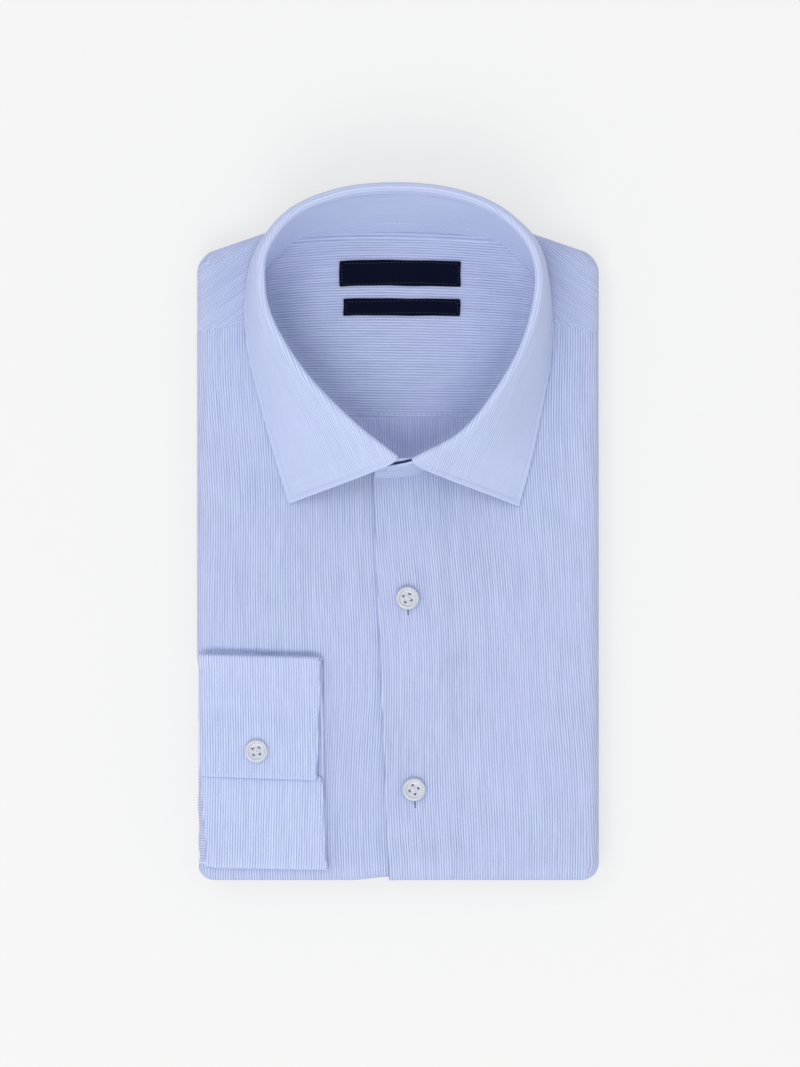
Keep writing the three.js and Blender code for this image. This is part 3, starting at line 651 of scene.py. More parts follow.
def rows_by_cuff():
    """Shares up the right front, closer together where it sinks above the cuff."""
    start = FLAT_BOTTOM - WRAP
    end = SHOULDER_SEAM - SEAM_GAP / 2
    rows = [np.linspace(start, -66, 78), np.linspace(-66, -53, 34)[1:], np.linspace(-53, end, 110)[1:]]
    return (np.concatenate(rows) - start) / (end - start)


def build_front_right(material):
    u, v = np.meshgrid(np.linspace(0, 1, 94), rows_by_cuff())
    edge = -FLAT_X - WRAP
    a = mix(edge, placket_edge(-70.0) + 28.5, u)
    b = mix(FLAT_BOTTOM - WRAP, front_top(a), v)
    a = mix(edge, placket_edge(b) + 28.5, u)
    lift = LAYER_GAP + CLOTH - cuff_trough(a, b)
    outer = lift_off_body(a, b, lift, pack_height)
    inner = lift_off_body(a, b, lift - SHEET_WALL, pack_height)
    across = measured_from(outer, a, -50.0, 3) + 0.012 * b + stripe_drift(a, b)
    sheet = shell(outer, inner, cloth_marks(across, true_along(b)))
    return cloth_object("front_right_cloth", [sheet], material)


# Yoke and back

def neck_side(b, side):
    """Where the neck's side stands at a line across the flat cloth."""
    lookup = neck_left if side < 0 else neck_right
    x = np.full(np.shape(b), side * 68.0)
    for repeat in range(3):
        x = lookup(b + (top_edge(x) - SHOULDER_EDGE) * smooth(SLOPE_FROM, FLAT_TOP, b))
    return x


STRIP_TURN = math.radians(24)


def build_yoke(outside, inside):
    lift = LAYER_GAP + CLOTH
    top = FLAT_TOP + WRAP
    u, v = grid_of(120, 84)
    b = mix(BACK_SEAM + SEAM_GAP / 2, top, v)
    a = mix(neck_side(b, -1) - 0.3, neck_side(b, 1) + 0.3, u)
    drift = 0.5 * np.sin(a / 31 + 0.6)
    parts = [body_sheet(a, b, np.full(a.shape, lift), SHEET_WALL, hollow_height, b + drift, a)]
    for side in (-1, 1):
        u, v = grid_of(40, 44)
        b = mix(SHOULDER_SEAM + SEAM_GAP / 2, top, v)
        a = mix(side * (FLAT_X + WRAP), neck_side(b, side) + side * 0.4, u)
        cloth_a = true_across(a)
        cloth_b = true_along(b)
        across = cloth_b * math.cos(STRIP_TURN) + side * cloth_a * math.sin(STRIP_TURN)
        along = cloth_a * math.cos(STRIP_TURN) - side * cloth_b * math.sin(STRIP_TURN)
        across = across + 0.5 * np.sin(along / 17 + side)
        level = np.full(a.shape, lift)
        parts.append(body_sheet(a, b, level, SHEET_WALL, pack_height, across, along))
    # The stretch inside the neck takes the darker copy of the shirting, painted shade.
    return cloth_object("yoke_cloth", parts, [inside, outside, outside])


def build_back(material):
    u, v = grid_of(70, 26)
    b = mix(30.6, BACK_SEAM - SEAM_GAP / 2, v)
    a = mix(neck_side(b, -1) - 0.3, neck_side(b, 1) + 0.3, u)
    lift = np.full(a.shape, LAYER_GAP + CLOTH)
    sheet = body_sheet(a, b, lift, SHEET_WALL, hollow_height, a + 0.4 * np.sin(b / 9), b)
    return cloth_object("back_cloth", [sheet], material)


# Collar

def collar_frame(base, ridge, height):
    """Foot and top of the stand, and the way up it."""
    base = np.asarray(base, dtype=float)
    ridge = np.asarray(ridge, dtype=float)
    foot_z = top_of_shirt(base[..., 0], base[..., 1]) + LAYER_GAP
    lean = np.linalg.norm(ridge - base, axis=-1)
    top_z = foot_z + np.sqrt(np.asarray(height) ** 2 - lean ** 2)
    foot = np.concatenate([base, foot_z[..., None]], axis=-1)
    top = np.concatenate([ridge, top_z[..., None]], axis=-1)
    return foot, top, unit(top - foot)


LAST_ROW = len(COLLAR) - 1
CORNER = 0.2
corner_steps = np.linspace(0, CORNER, 15)
collar_rows = np.concatenate([
    corner_steps, np.linspace(CORNER, LAST_ROW - CORNER, COLLAR_STEPS + 1)[1:-1],
    LAST_ROW - corner_steps[::-1],
])
ridge_line = through_rows([row[0:2] for row in COLLAR], collar_rows)
edge_line = through_rows([(row[2], row[3], row[6]) for row in COLLAR], collar_rows)
base_line = through_rows([row[4:6] for row in COLLAR], collar_rows)
collar_share = collar_rows / LAST_ROW
stand_height = mix(STAND_FRONT, STAND_BACK, np.sin(math.pi * collar_share))
foot_line, top_line, up_line = collar_frame(base_line, ridge_line, stand_height)
top_length = running_length(top_line)


def stand_end(rows, meet, toward_start):
    """Foot and top of one end of the stand, as a smooth run of places."""
    rows = np.array(rows)
    both = np.hstack(collar_frame(rows[:, 2:4], rows[:, 0:2], rows[:, 4])[:2])
    joined = np.vstack([both, meet]) if toward_start else np.vstack([meet, both])
    return through_rows(joined, 8 * (len(joined) - 1))


def stand_surface():
    """Middle of the stand's cloth, height up it, and length along it."""
    start = stand_end(STAND_UNDER_END, np.hstack([foot_line[:1], top_line[:1]]), True)
    end = stand_end(STAND_TOP_END, np.hstack([foot_line[-1:], top_line[-1:]]), False)
    both = np.vstack([start[:-1], np.hstack([foot_line, top_line]), end[1:]])
    feet = both[:, 0:3]
    tops = both[:, 3:6]
    # At the back the shirt curves down to its edge, and the band follows it to its seam
    below = mix(0.018, 0.15, smooth(138, 149, feet[:, 1]))
    share = mix(-below[:, None], 1.0, np.linspace(0, 1, 24)[None, :])[:, :, None]
    grid = mix(feet[:, None, :], tops[:, None, :], share)
    length = running_length(feet)
    height = np.linalg.norm(tops - feet, axis=1)[:, None] * share[:, :, 0]
    # The band is not quite even: it bows a little between foot and fold
    bow = 0.35 * np.sin(math.pi * np.clip(share[:, :, 0], 0, 1))
    bow = bow * (np.sin(length / 17) + 0.6 * np.sin(length / 7.3 + 1))[:, None]
    grid = grid + grid_normals(grid) * bow[..., None]
    return grid, height, length[:, None] + 0 * height


def build_stand(material):
    grid, height, length = stand_surface()
    front = smooth(length[-1, 0] - 26, length[-1, 0] - 14, length)
    marks = cloth_marks(height, length, 0.68 + 0.28 * front)
    # The band thins out towards the end that lies underneath
    wall = mix(0.8, STAND_WALL, smooth(2, 14, length[..., None]))
    return cloth_object("collar_stand_cloth", [wall_shell(grid, wall, marks)], material)


# Shares of the run from fold to free edge, closer together in the sewn edge
LEAF_SHARES = np.concatenate([np.linspace(0, 0.9, 27)[1:], np.linspace(0.9, 1, 13)[1:]])


def leaf_grid():
    """Middle of the leaf's cloth, and its width at each step."""
    before = np.vstack([ridge_line[:1], ridge_line[:-1]])
    after = np.vstack([ridge_line[1:], ridge_line[-1:]])
    outward = np.zeros((len(ridge_line), 3))
    outward[:, 0] = before[:, 1] - after[:, 1]
    outward[:, 1] = after[:, 0] - before[:, 0]
    outward = unit(outward)
    outward = unit(outward - up_line * np.sum(outward * up_line, axis=1, keepdims=True))

    def around(degrees):
        turn = math.radians(degrees)
        return top_line + ROLL * (outward * math.cos(turn) + up_line * math.sin(turn))

    columns = [around(180) - up_line * depth for depth in (ROLL_INSIDE, 2.2, 1.4, 0.7)]
    columns += [around(degrees) for degrees in np.linspace(180, 60, 13)]
    start = columns[-1]
    rest = top_of_shirt(edge_line[:, 0], edge_line[:, 1]) + LAYER_GAP + 0.6
    rests = np.clip(edge_line[:, 2], 0, 1)
    end = np.column_stack([edge_line[:, :2], mix(top_line[:, 2] - LEAF_HANG, rest, rests)])
    reach = np.linalg.norm(end - start, axis=1, keepdims=True)
    leaving = outward * math.sin(math.pi / 3) - up_line * 0.5
    second = start + leaving * (1 + 0.05 * reach)
    third = end + unit(start - end) * 0.4 * reach
    for share in LEAF_SHARES:
        rest_share = 1 - share
        place = start * rest_share ** 3 + second * 3 * share * rest_share ** 2
        place = place + third * 3 * share ** 2 * rest_share + end * share ** 3
        columns.append(place)
    return np.stack(columns, axis=1)


def edge_distance(grid, share, width):
    """Distance on the leaf to its nearest free edge."""
    walked = running_length(grid)
    corner = np.minimum(walked, walked[-1:] - walked) * 0.9
    return np.minimum(corner, (1 - share) * width)


def leaf_surface():
    """Middle of the leaf's cloth with its waves, and measures over it."""
    grid = leaf_grid()
    across = running_length(grid, 1)
    fold = across[:, 12:13]
    width = across[:, -1:] - fold
    share = (across - fold) / width
    along = top_length[:, None] + 0 * across
    # Soft waves of the leaf, stronger towards its free edge
    loose = smooth(0.1, 0.7, share) * smooth(1.05, 0.8, share)
    wave = 0.45 * np.sin(along / 23 + 0.8) + 0.3 * np.sin(along / 9.5) * np.sin(across / 14 + 1)
    grid = grid + grid_normals(grid) * (wave * loose)[..., None]
    return grid, share, width, along


def build_leaf(material):
    grid, share, width, along = leaf_surface()
    # The turned seam makes a welt along the free edges, and the stitches pull a groove beside it
    away = edge_distance(grid, share, width)
    outside = share > 0.02
    welt = outside * (0.24 * (1 - smooth(0.9, 1.7, away)) - 0.16 * np.exp(-((away - 2.0) / 0.5) ** 2))
    at_back = np.sin(math.pi * collar_share)[:, None] ** 2
    plainness = 0.12 + 0.6 * smooth(0.22, 0.62, share) + 0.3 * (1 - smooth(1.0, 1.6, away))
    plainness = plainness + 0.3 * at_back * (1 - smooth(0.05, 0.15, share))
    marks = cloth_marks((1 - share) * width, along, plainness)
    normal = grid_normals(grid)
    outer = grid + normal * (LEAF_WALL / 2 + welt)[..., None]
    inner = grid - normal * LEAF_WALL / 2
    return cloth_object("collar_leaf_cloth", [shell(outer, inner, marks)], material)


# Cuff and sleeve

def cuff_path():
    """Once round the cuff: place up the shirt, level above it, and length of cloth."""
    lap = [(y, LEVEL_LAP) for y in steps(CUFF_LAP_EDGE, CUFF_UNDER_END + 2, 1.5)]
    down = []
    for share in np.linspace(0, 1, 12)[1:]:
        level = mix(LEVEL_LAP, LEVEL_TOP, smooth(0, 1, share))
        down.append((CUFF_UNDER_END + 2 + 15 * share, level))
    over = [(y, LEVEL_TOP) for y in steps(down[-1][0], FOLD_TOP - FOLD_RADIUS, 1.6)[1:]]
    middle = (LEVEL_TOP + LEVEL_UNDER) / 2
    turn_over = []
    turn_back = []
    for angle in np.linspace(0, math.pi, 13)[1:]:
        out = FOLD_RADIUS * math.sin(angle)
        rise = FOLD_RADIUS * math.cos(angle)
        turn_over.append((FOLD_TOP - FOLD_RADIUS + out, middle + rise))
        turn_back.append((FOLD_BOTTOM + FOLD_RADIUS - out, middle - rise))
    under = steps(FOLD_TOP - FOLD_RADIUS, FOLD_BOTTOM + FOLD_RADIUS, 2.5)[1:]
    below = [(y, LEVEL_UNDER) for y in under]
    front = [(y, LEVEL_TOP) for y in steps(FOLD_BOTTOM + FOLD_RADIUS, CUFF_UNDER_END, 1.6)[1:]]
    path = np.array(lap + down + over + turn_over + below + turn_back + front)
    length = running_length(path)
    split = len(lap) + len(down) + len(over)
    return path[:, 0], path[:, 1], length, split


def cuff_right(y, level, step, split):
    """Free edge of the cuff: slanted a little, as the two ends were buttoned."""
    upper = -39.2 - (-66 - y) * 0.033
    lower = -38.3 + (-123 - y) * 0.045
    tucked = smooth(CUFF_LAP_EDGE - 1.4, CUFF_LAP_EDGE + 2.5, y)
    lower = mix(lower, upper - 1.2, tucked)
    under = -38.3 + np.clip(-64 - y, 0, 102) * 0.0168
    outside = np.where(step < split, upper, lower)
    return mix(under, outside, smooth(LEVEL_UNDER, LEVEL_TOP, level))


def cuff_left(y):
    """Cloth past the flat middle at the cuff's seam to the sleeve."""
    return mix(5.3, 2.9, smooth(-108, CUFF_BOTTOM, y)) - 1.4 * smooth(-71, CUFF_TOP, y)


def lap_pull(level):
    """The doubled lap is pulled in a little, so the cuff's side stays even."""
    return 0.7 * smooth(LEVEL_TOP, LEVEL_LAP, level)


def cuff_slant(y, step, split):
    """How far the cuff's edges run downhill to the right, per millimetre across."""
    lap_end = smooth(-95, CUFF_LAP_EDGE, y) * (step < split)
    return mix(0.010, 0.024, smooth(CUFF_BOTTOM, CUFF_TOP, y)) + 0.017 * lap_end


def cuff_surface():
    """Middle of the cuff's cloth, with places across and lengths along it."""
    y, level, length, split = cuff_path()
    step = np.arange(len(y))
    right = cuff_right(y, level, step, split)
    left = -FLAT_X - cuff_left(y) + lap_pull(level)
    u = np.linspace(0, 1, 50)[None, :]
    a = mix(left[:, None], right[:, None], u)
    b = y[:, None] - cuff_slant(y, step, split)[:, None] * (a + CUFF_SIDE)
    along = np.repeat(length[:, None], a.shape[1], axis=1)
    # Pressed cloth still lifts a little between its edges
    puff = 0.28 * np.sin(math.pi * u) ** 2 * (np.sin(along / 19 + 0.4) + np.sin(a / 13 + along / 41))
    puff = np.where(level[:, None] > LEVEL_UNDER + 1.5, puff, 0.0)
    grid = lift_off_body(a, b, SKIN + level[:, None] + puff, pack_height)
    across = measured_from(grid, a, -68.0, 0) + 0.35 * np.sin(b / 15)
    return grid, across, along


def build_cuff(material):
    grid, across, along = cuff_surface()
    marks = cloth_marks(across, along)
    return cloth_object("cuff_cloth", [wall_shell(grid, CUFF_WALL, marks)], material)


SLEEVE_WALL = 1.6


def build_sleeve(material):
    b = steps(CUFF_BOTTOM + 1.6, CUFF_TOP - 1.6, 1.2)
    past = steps(2.2, 8.0, 0.6)
    a_grid, b_grid = np.meshgrid(-FLAT_X - past, b)
    # Pleats run from the cuff's seam round the edge, unevenly spaced
    fold = np.sin(b_grid / 4.1) + 0.7 * np.sin(b_grid / 2.6 + 1.1) + 0.5 * np.sin(b_grid / 7.7 + 2)
    loose = smooth(2.0, 7.0, -a_grid - FLAT_X)
    bottom = smooth(CUFF_BOTTOM + 12, CUFF_BOTTOM, b_grid)
    top_end = smooth(CUFF_TOP - 8, CUFF_TOP, b_grid)
    lift = 2.7 - 1.7 * np.maximum(bottom, top_end) - 0.15 * (fold + 2.2) * loose * (1 - bottom)
    round_edge = lift_off_body(a_grid, b_grid, lift, pack_height)
    side = round_edge[:, -1]
    fold_side = fold[:, -1]
    down = [(0.5, 8.2, 0.5), (1.1, 5.4, 0.8), (1.4, 3.2, 0.6), (2.2, 1.7, 0.3), (4.2, 1.0, 0.0)]
    points = [side]
    for inward, height, pleat in down:
        place = side.copy()
        place[:, 0] = side[:, 0] + inward + pleat * (0.8 + 0.6 * fold_side) * (1 - bottom[:, -1])
        place[:, 2] = height
        points.append(place)
    points = np.stack([round_edge[:, -2]] + points, axis=0)
    smoothed = []
    for index in range(len(b)):
        smoothed.append(through_rows(points[:, index], 4 * (len(points) - 1))[5:])
    grid = np.concatenate([round_edge, np.stack(smoothed)], axis=1)
    along = running_length(grid, 1)
    marks = cloth_marks(b[:, None] + 0 * along, along)
    return cloth_object("sleeve_cloth", [wall_shell(grid, SLEEVE_WALL, marks)], material)


# Folded layers: the hidden cloth, its edges seen from the side as lips of folded layers

# Each lip: height of its upper and lower face, reach, and how much the reach wanders
LIPS = [
    (6.2, 4.3, 4.6, 1.1),
    (4.1, 2.3, 6.0, 0.8),
    (2.1, 0.0, 5.2, 0.9),
]
LIP_DEPTH = 3.4


def lip_profile(place):
    """Side of the folded layers at one place of the rim: rows of reach and height."""
    rows = [(0.3, SLOT_TOP), (0.3, 7.8), (0.5, 6.3)]
    for number, (top, bottom, reach, wander) in enumerate(LIPS):
        swing = math.sin(place / (19 + 5 * number) + 1.7 * number)
        swing += 0.6 * math.sin(place / (7.3 + 2 * number) + number)
        end = reach + wander * 0.6 * swing
        radius = (top - bottom) / 2
        middle = (top + bottom) / 2
        rows.append((end - LIP_DEPTH, top))
        rows.append((end - radius - 0.6, top))
        for angle in (90, 55, 20, -20, -55, -90):
            turn = math.radians(angle)
            rows.append((end - radius + radius * math.cos(turn), middle + radius * math.sin(turn)))
        rows.append((end - LIP_DEPTH, bottom))
    return rows


def build_layers(material):
    across = np.concatenate([
        -FLAT_X - steps(WRAP, 1, 1.5), steps(-FLAT_X, FLAT_X, 4.0), FLAT_X + steps(1, WRAP, 1.5),
    ])
    along = np.concatenate([
        FLAT_BOTTOM - steps(WRAP, 1, 1.5), steps(FLAT_BOTTOM, FLAT_TOP, 4.0),
        FLAT_TOP + steps(1, WRAP, 1.5),
    ])
    a, b = np.meshgrid(across, along)
    top = place_on_body(a, b, hollow_height)
    # The cloth sheets above lie on this solid, so it stays a hair below them
    top[..., 2] -= 0.25 + np.maximum(cuff_trough(a, b) - 0.5, 0)
    index = np.arange(a.size).reshape(a.shape)
    quads = [grid_quads(index)]
    ring = rim_ring(*a.shape)
    rim_a = a[ring[:, 0], ring[:, 1]]
    rim_b = b[ring[:, 0], ring[:, 1]]
    middle_x, middle_y = fold_direction(rim_a, rim_b)[:2]
    out_x, out_y = fold_direction(rim_a, rim_b)[3:]
    rim = top[ring[:, 0], ring[:, 1]]
    walked = running_length(rim[:, :2])
    profiles = np.array([lip_profile(place) for place in walked])
    places = [top.reshape(-1, 3)]
    marks = [cloth_marks(a, b).reshape(-1, 3)]
    previous = index[ring[:, 0], ring[:, 1]]
    total = a.size
    cloth_past = WRAP
    for row in range(profiles.shape[1]):
        reach = profiles[:, row, 0]
        height = profiles[:, row, 1]
        x = middle_x + out_x * reach
        y = middle_y + out_y * reach
        point = np.stack([pinch(x, y), press_bottom(x, slope_shoulder(x, y)), height], axis=-1)
        cloth_past = cloth_past + 1.3
        places.append(point)
        mark_a = middle_x + out_x * cloth_past
        mark_b = middle_y + out_y * cloth_past
        marks.append(cloth_marks(mark_a, mark_b))
        now = total + np.arange(len(reach))
        quads.append(loop_quads(previous, now))
        previous = now
        total += len(reach)
    faces = np.vstack(quads)
    cap = [previous[::-1].tolist()]
    part = (np.vstack(places), faces, np.vstack(marks))
    return cloth_object("folded_layers", [part], material, cap)


# Labels: two woven strips, left bare

LABELS = [
    ("label_upper_strip", "label_upper", -29.0, 31.0, 132.3, 120.6),
    ("label_lower_strip", "label_lower", -27.0, 30.8, 114.0, 106.6),
]


def build_label(row, material):
    left, right, top, bottom = row[2:]
    u, v = grid_of(90, 20)
    a = mix(left, right, u) + 0.12 * np.sin(v * 5 + left) * smooth(0.36, 0.5, np.abs(u - 0.5))
    b = mix(bottom, top, v) + 0.2 * np.sin(u * 7 + top) + 0.06 * np.sin(u * 19)
    edge = np.minimum(np.minimum(u, 1 - u) * (right - left), np.minimum(v, 1 - v) * (top - bottom))
    soft = 0.22 * np.sin(a / 8.5) * np.sin(b / 5 + 1) * smooth(0.3, 3, edge)
    lift = SKIN + SEAM_GAP + 0.75 + soft
    sheet = body_sheet(a, b, lift, LABEL_WALL, hollow_height, b - bottom, a)
    return cloth_object(row[0], [sheet], material)


# Buttons

BUTTON_PROFILE = [
    (0.0, 0.0), (3.6, 0.0), (4.7, 0.12), (5.4, 0.5), (5.75, 1.0), (5.8, 1.45), (5.72, 1.9),
    (5.45, 2.3), (5.1, 2.53), (4.8, 2.6), (4.5, 2.55), (4.25, 2.35), (4.05, 2.05), (3.8, 1.88),
    (3.3, 1.8), (2.0, 1.78), (0.0, 1.78),
]
BUTTONS = [
    ("button_front_1", 4.75, -32.75, 0.3),
    ("button_front_2", 8.0, -128.5, -0.5),
    ("button_cuff", -70.75, -109.25, 0.15),
]


HOLE_FROM_MIDDLE = 1.5


def button_seat(name, x, y):
    height = float(pack_height(np.array(x), np.array(y)))
    if name == "button_cuff":
        return height + SKIN + LEVEL_LAP + CUFF_WALL / 2 + 0.35
    return height + 2 * SKIN + 0.4


def turned_mesh(profile, segments):
    """Solid of revolution from rows of radius and height, its first and last on the axis."""
    shape = bmesh.new()
    rings = []
    for radius, height in profile:
        if radius == 0:
            rings.append([shape.verts.new((0, 0, height))])
            continue
        ring = []
        for number in range(segments):
            turn = 2 * math.pi * number / segments
            ring.append(shape.verts.new((radius * math.cos(turn), radius * math.sin(turn), height)))
        rings.append(ring)
    for lower, upper in zip(rings, rings[1:]):
        for number in range(segments):
            after = (number + 1) % segments
            if len(lower) == 1:
                shape.faces.new((lower[0], upper[after], upper[number]))
            elif len(upper) == 1:
                shape.faces.new((lower[number], lower[after], upper[0]))
            else:
                corners = (lower[number], lower[after], upper[after], upper[number])
                shape.faces.new(corners)
    return shape


def turned_place(x, y, turn, from_x, from_y):
    """Place of a button's point after its turn round its middle at x y."""
    along = math.cos(turn)
    across = math.sin(turn)
    return x + from_x * along - from_y * across, y + from_x * across + from_y * along


def mesh_object(name, shape, material):
    mesh = bpy.data.meshes.new(name)
    shape.to_mesh(mesh)
    shape.free()
    mesh.polygons.foreach_set("use_smooth", [True] * len(mesh.polygons))
    mesh.materials.append(material)
    return new_object(name, mesh)


def apply_modifiers(piece):
    """Replace a piece's mesh by what its modifiers make of it."""
    graph = bpy.context.evaluated_depsgraph_get()
    result = bpy.data.meshes.new_from_object(piece.evaluated_get(graph))
    piece.modifiers.clear()
    piece.data = result


def build_button(name, x, y, turn, material):
    disc = mesh_object(name + "_disc", turned_mesh(BUTTON_PROFILE, 72), material)
    drills = bmesh.new()
    for side_x in (-1, 1):
        for side_y in (-1, 1):
            profile = [(0, -1), (1.15, -1), (1.15, -0.2), (0.62, 0.25), (0.62, 1.45),
                       (1.0, 1.9), (1.0, 3), (0, 3)]
            one = turned_mesh(profile, 20)
            away = (side_x * HOLE_FROM_MIDDLE, side_y * HOLE_FROM_MIDDLE, 0)
            bmesh.ops.translate(one, verts=one.verts, vec=away)
            part = bpy.data.meshes.new("drill")
            one.to_mesh(part)
            one.free()
            drills.from_mesh(part)
            bpy.data.meshes.remove(part)
    cutter = mesh_object("drills", drills, material)
    cut = disc.modifiers.new("holes", "BOOLEAN")
    cut.operation = "DIFFERENCE"
    cut.solver = "EXACT"
    cut.object = cutter
    bpy.context.view_layer.update()
    apply_modifiers(disc)
    bpy.data.objects.remove(cutter)
    seat = button_seat(name, x, y)
    for vertex in disc.data.vertices:
        place = turned_place(x, y, turn, vertex.co.x, vertex.co.y)
        vertex.co = Vector((*place, seat + vertex.co.z)) * MM
    return disc


# Sewing: small stitches of thread, each a rounded stretch that dips into the cloth at its ends

STITCH_SIDES = 6
STITCH_ROWS = [
    # share of the stitch, thickness, height above the cloth in thread radii
    (0.0, 0.45, -0.9), (0.14, 0.9, 0.1), (0.38, 1.0, 0.55), (0.62, 1.0, 0.55), (0.86, 0.9, 0.1),
    (1.0, 0.45, -0.9),
]


def thread_tube(line, ups, radii):
    """Closed tube along a short line: places and faces."""
    along = unit(np.gradient(line, axis=0))
    side = unit(np.cross(along, ups))
    up = np.cross(side, along)
    angles = np.linspace(0, 2 * math.pi, STITCH_SIDES, endpoint=False)
    ring = (side[:, None] * np.cos(angles)[None, :, None]
            + up[:, None] * np.sin(angles)[None, :, None])
    places = (line[:, None] + ring * radii[:, None, None]).reshape(-1, 3)
    faces = []
    for row in range(len(line) - 1):
        for number in range(STITCH_SIDES):
            after = (number + 1) % STITCH_SIDES
            base = row * STITCH_SIDES
            faces.append((base + number, base + after,
                          base + STITCH_SIDES + after, base + STITCH_SIDES + number))
    faces.append(tuple(range(STITCH_SIDES - 1, -1, -1)))
    last = (len(line) - 1) * STITCH_SIDES
    faces.append(tuple(range(last, last + STITCH_SIDES)))
    return places, faces


def stitch_line(path, normals, radius=0.17, stitch=1.9, gap=0.75):
    """Stitches of equal length along a path on the cloth."""
    path = np.asarray(path, dtype=float)
    walked = running_length(path)
    shares = np.array([row[0] for row in STITCH_ROWS])
    thick = np.array([row[1] for row in STITCH_ROWS]) * radius
    high = np.array([row[2] for row in STITCH_ROWS]) * radius
    made = []
    start = gap
    number = 0
    while start + stitch < walked[-1]:
        length = stitch * (1 + 0.07 * math.sin(number * 2.3))
        at = start + shares * length
        line = np.stack([np.interp(at, walked, path[:, axis]) for axis in range(3)], axis=-1)
        up = np.stack([np.interp(at, walked, normals[:, axis]) for axis in range(3)], axis=-1)
        made.append(thread_tube(line + up * high[:, None], up, thick))
        start += length + gap
        number += 1
    return made


def thread_object(name, tubes, material):
    """All the thread of one seam as a single piece."""
    places = []
    faces = []
    total = 0
    for some_places, some_faces in tubes:
        places.append(some_places)
        faces.extend(tuple(total + corner for corner in face) for face in some_faces)
        total += len(some_places)
    mesh = smooth_mesh(name, places, faces)
    mesh.materials.append(material)
    return new_object(name, mesh)


def over_cloth(a, b, lift, height_at):
    """A line on the outer face of cloth that lies on the body, and its normals."""
    line = lift_off_body(a, b, lift, height_at)
    above = lift_off_body(a, b, np.asarray(lift) + 1.0, height_at)
    return line, unit(above - line)


def grid_line(grid, wall, rows, columns):
    """A line over the outer face of a wall, along grid rows and columns that may be fractions."""
    normal = grid_normals(grid)
    face = grid + normal * wall / 2
    rows, columns = np.broadcast_arrays(rows, columns)
    low_row = np.clip(np.floor(rows).astype(int), 0, grid.shape[0] - 2)
    low_column = np.clip(np.floor(columns).astype(int), 0, grid.shape[1] - 2)
    part_row = (rows - low_row)[:, None]
    part_column = (columns - low_column)[:, None]

    def blend(values):
        near = mix(values[low_row, low_column], values[low_row, low_column + 1], part_column)
        far = mix(values[low_row + 1, low_column], values[low_row + 1, low_column + 1], part_column)
        return mix(near, far, part_row)

    return blend(face), unit(blend(normal))


def upper_line(grid, wall, rows, columns):
    """The same over whichever face of the wall looks up."""
    line, normal = grid_line(grid, wall, rows, columns)
    if normal[:, 2].mean() < 0:
        line, normal = grid_line(grid, -wall, rows, columns)
        normal = -normal
    return line, normal


# Sewing on each piece

def leaf_stitches():
    """One line of stitches beside the leaf's free edges, from fold to fold round both corners."""
    grid, share, width = leaf_surface()[:3]
    inset = 2.0
    to_edge = (1 - share) * width
    columns = [np.interp(-inset, -row[10:], np.arange(10, len(row))) for row in to_edge]
    columns = np.array(columns)
    walked = running_length(grid)
    rows = np.arange(len(grid))
    first_column = 20
    last_column = grid.shape[1] - 1
    side_columns = np.arange(first_column, last_column)
    start = [np.interp(inset / 0.9, walked[:, column], rows) for column in side_columns]
    ends = walked[-1] - inset / 0.9
    end = [np.interp(ends[column], walked[:, column], rows) for column in side_columns]
    start = np.array(start)
    end = np.array(end)
    keep_start = side_columns < np.interp(start, rows, columns)
    keep_end = side_columns < np.interp(end, rows, columns)
    middle = rows[(rows > start[keep_start][-1] + 1) & (rows < end[keep_end][-1] - 1)]
    row_path = np.concatenate([start[keep_start], middle, end[keep_end][::-1]])
    column_path = np.concatenate([
        side_columns[keep_start], columns[middle], side_columns[keep_end][::-1],
    ])
    line, normal = grid_line(grid, LEAF_WALL, row_path.astype(float), column_path.astype(float))
    return stitch_line(line - normal * 0.04, normal)


def stand_stitches():
    """Lines of stitches near the stand's foot, inside and outside."""
    grid, height = stand_surface()[:2]
    rows = np.arange(2, len(grid) - 2)
    tubes = []
    for wall in (STAND_WALL, -STAND_WALL):
        spots = np.arange(height.shape[1])
        columns = np.array([np.interp(2.4, height[row], spots) for row in rows])
        line, normal = grid_line(grid, wall, rows.astype(float), columns)
        if wall < 0:
            normal = -normal
        tubes += stitch_line(line, normal)
    return tubes


def yoke_stitches():
    """Stitches on the yoke beside its seams to the fronts and to the back."""
    lift = LAYER_GAP + CLOTH
    tubes = []
    for side in (-1, 1):
        inner = float(neck_side(np.array(SHOULDER_SEAM + 1.6), side)) + side * 2.0
        a = np.linspace(side * (FLAT_X + 13), inner, 160)
        b = np.full(a.shape, SHOULDER_SEAM + 1.6)
        tubes += stitch_line(*over_cloth(a, b, np.full(a.shape, lift), pack_height))
    left = float(neck_side(np.array(BACK_SEAM + 1.8), -1))
    right = float(neck_side(np.array(BACK_SEAM + 1.8), 1))
    a = np.linspace(left + 1.2, right - 1.2, 120)
    b = np.full(a.shape, BACK_SEAM + 1.8)
    tubes += stitch_line(*over_cloth(a, b, np.full(a.shape, lift), hollow_height))
    return tubes


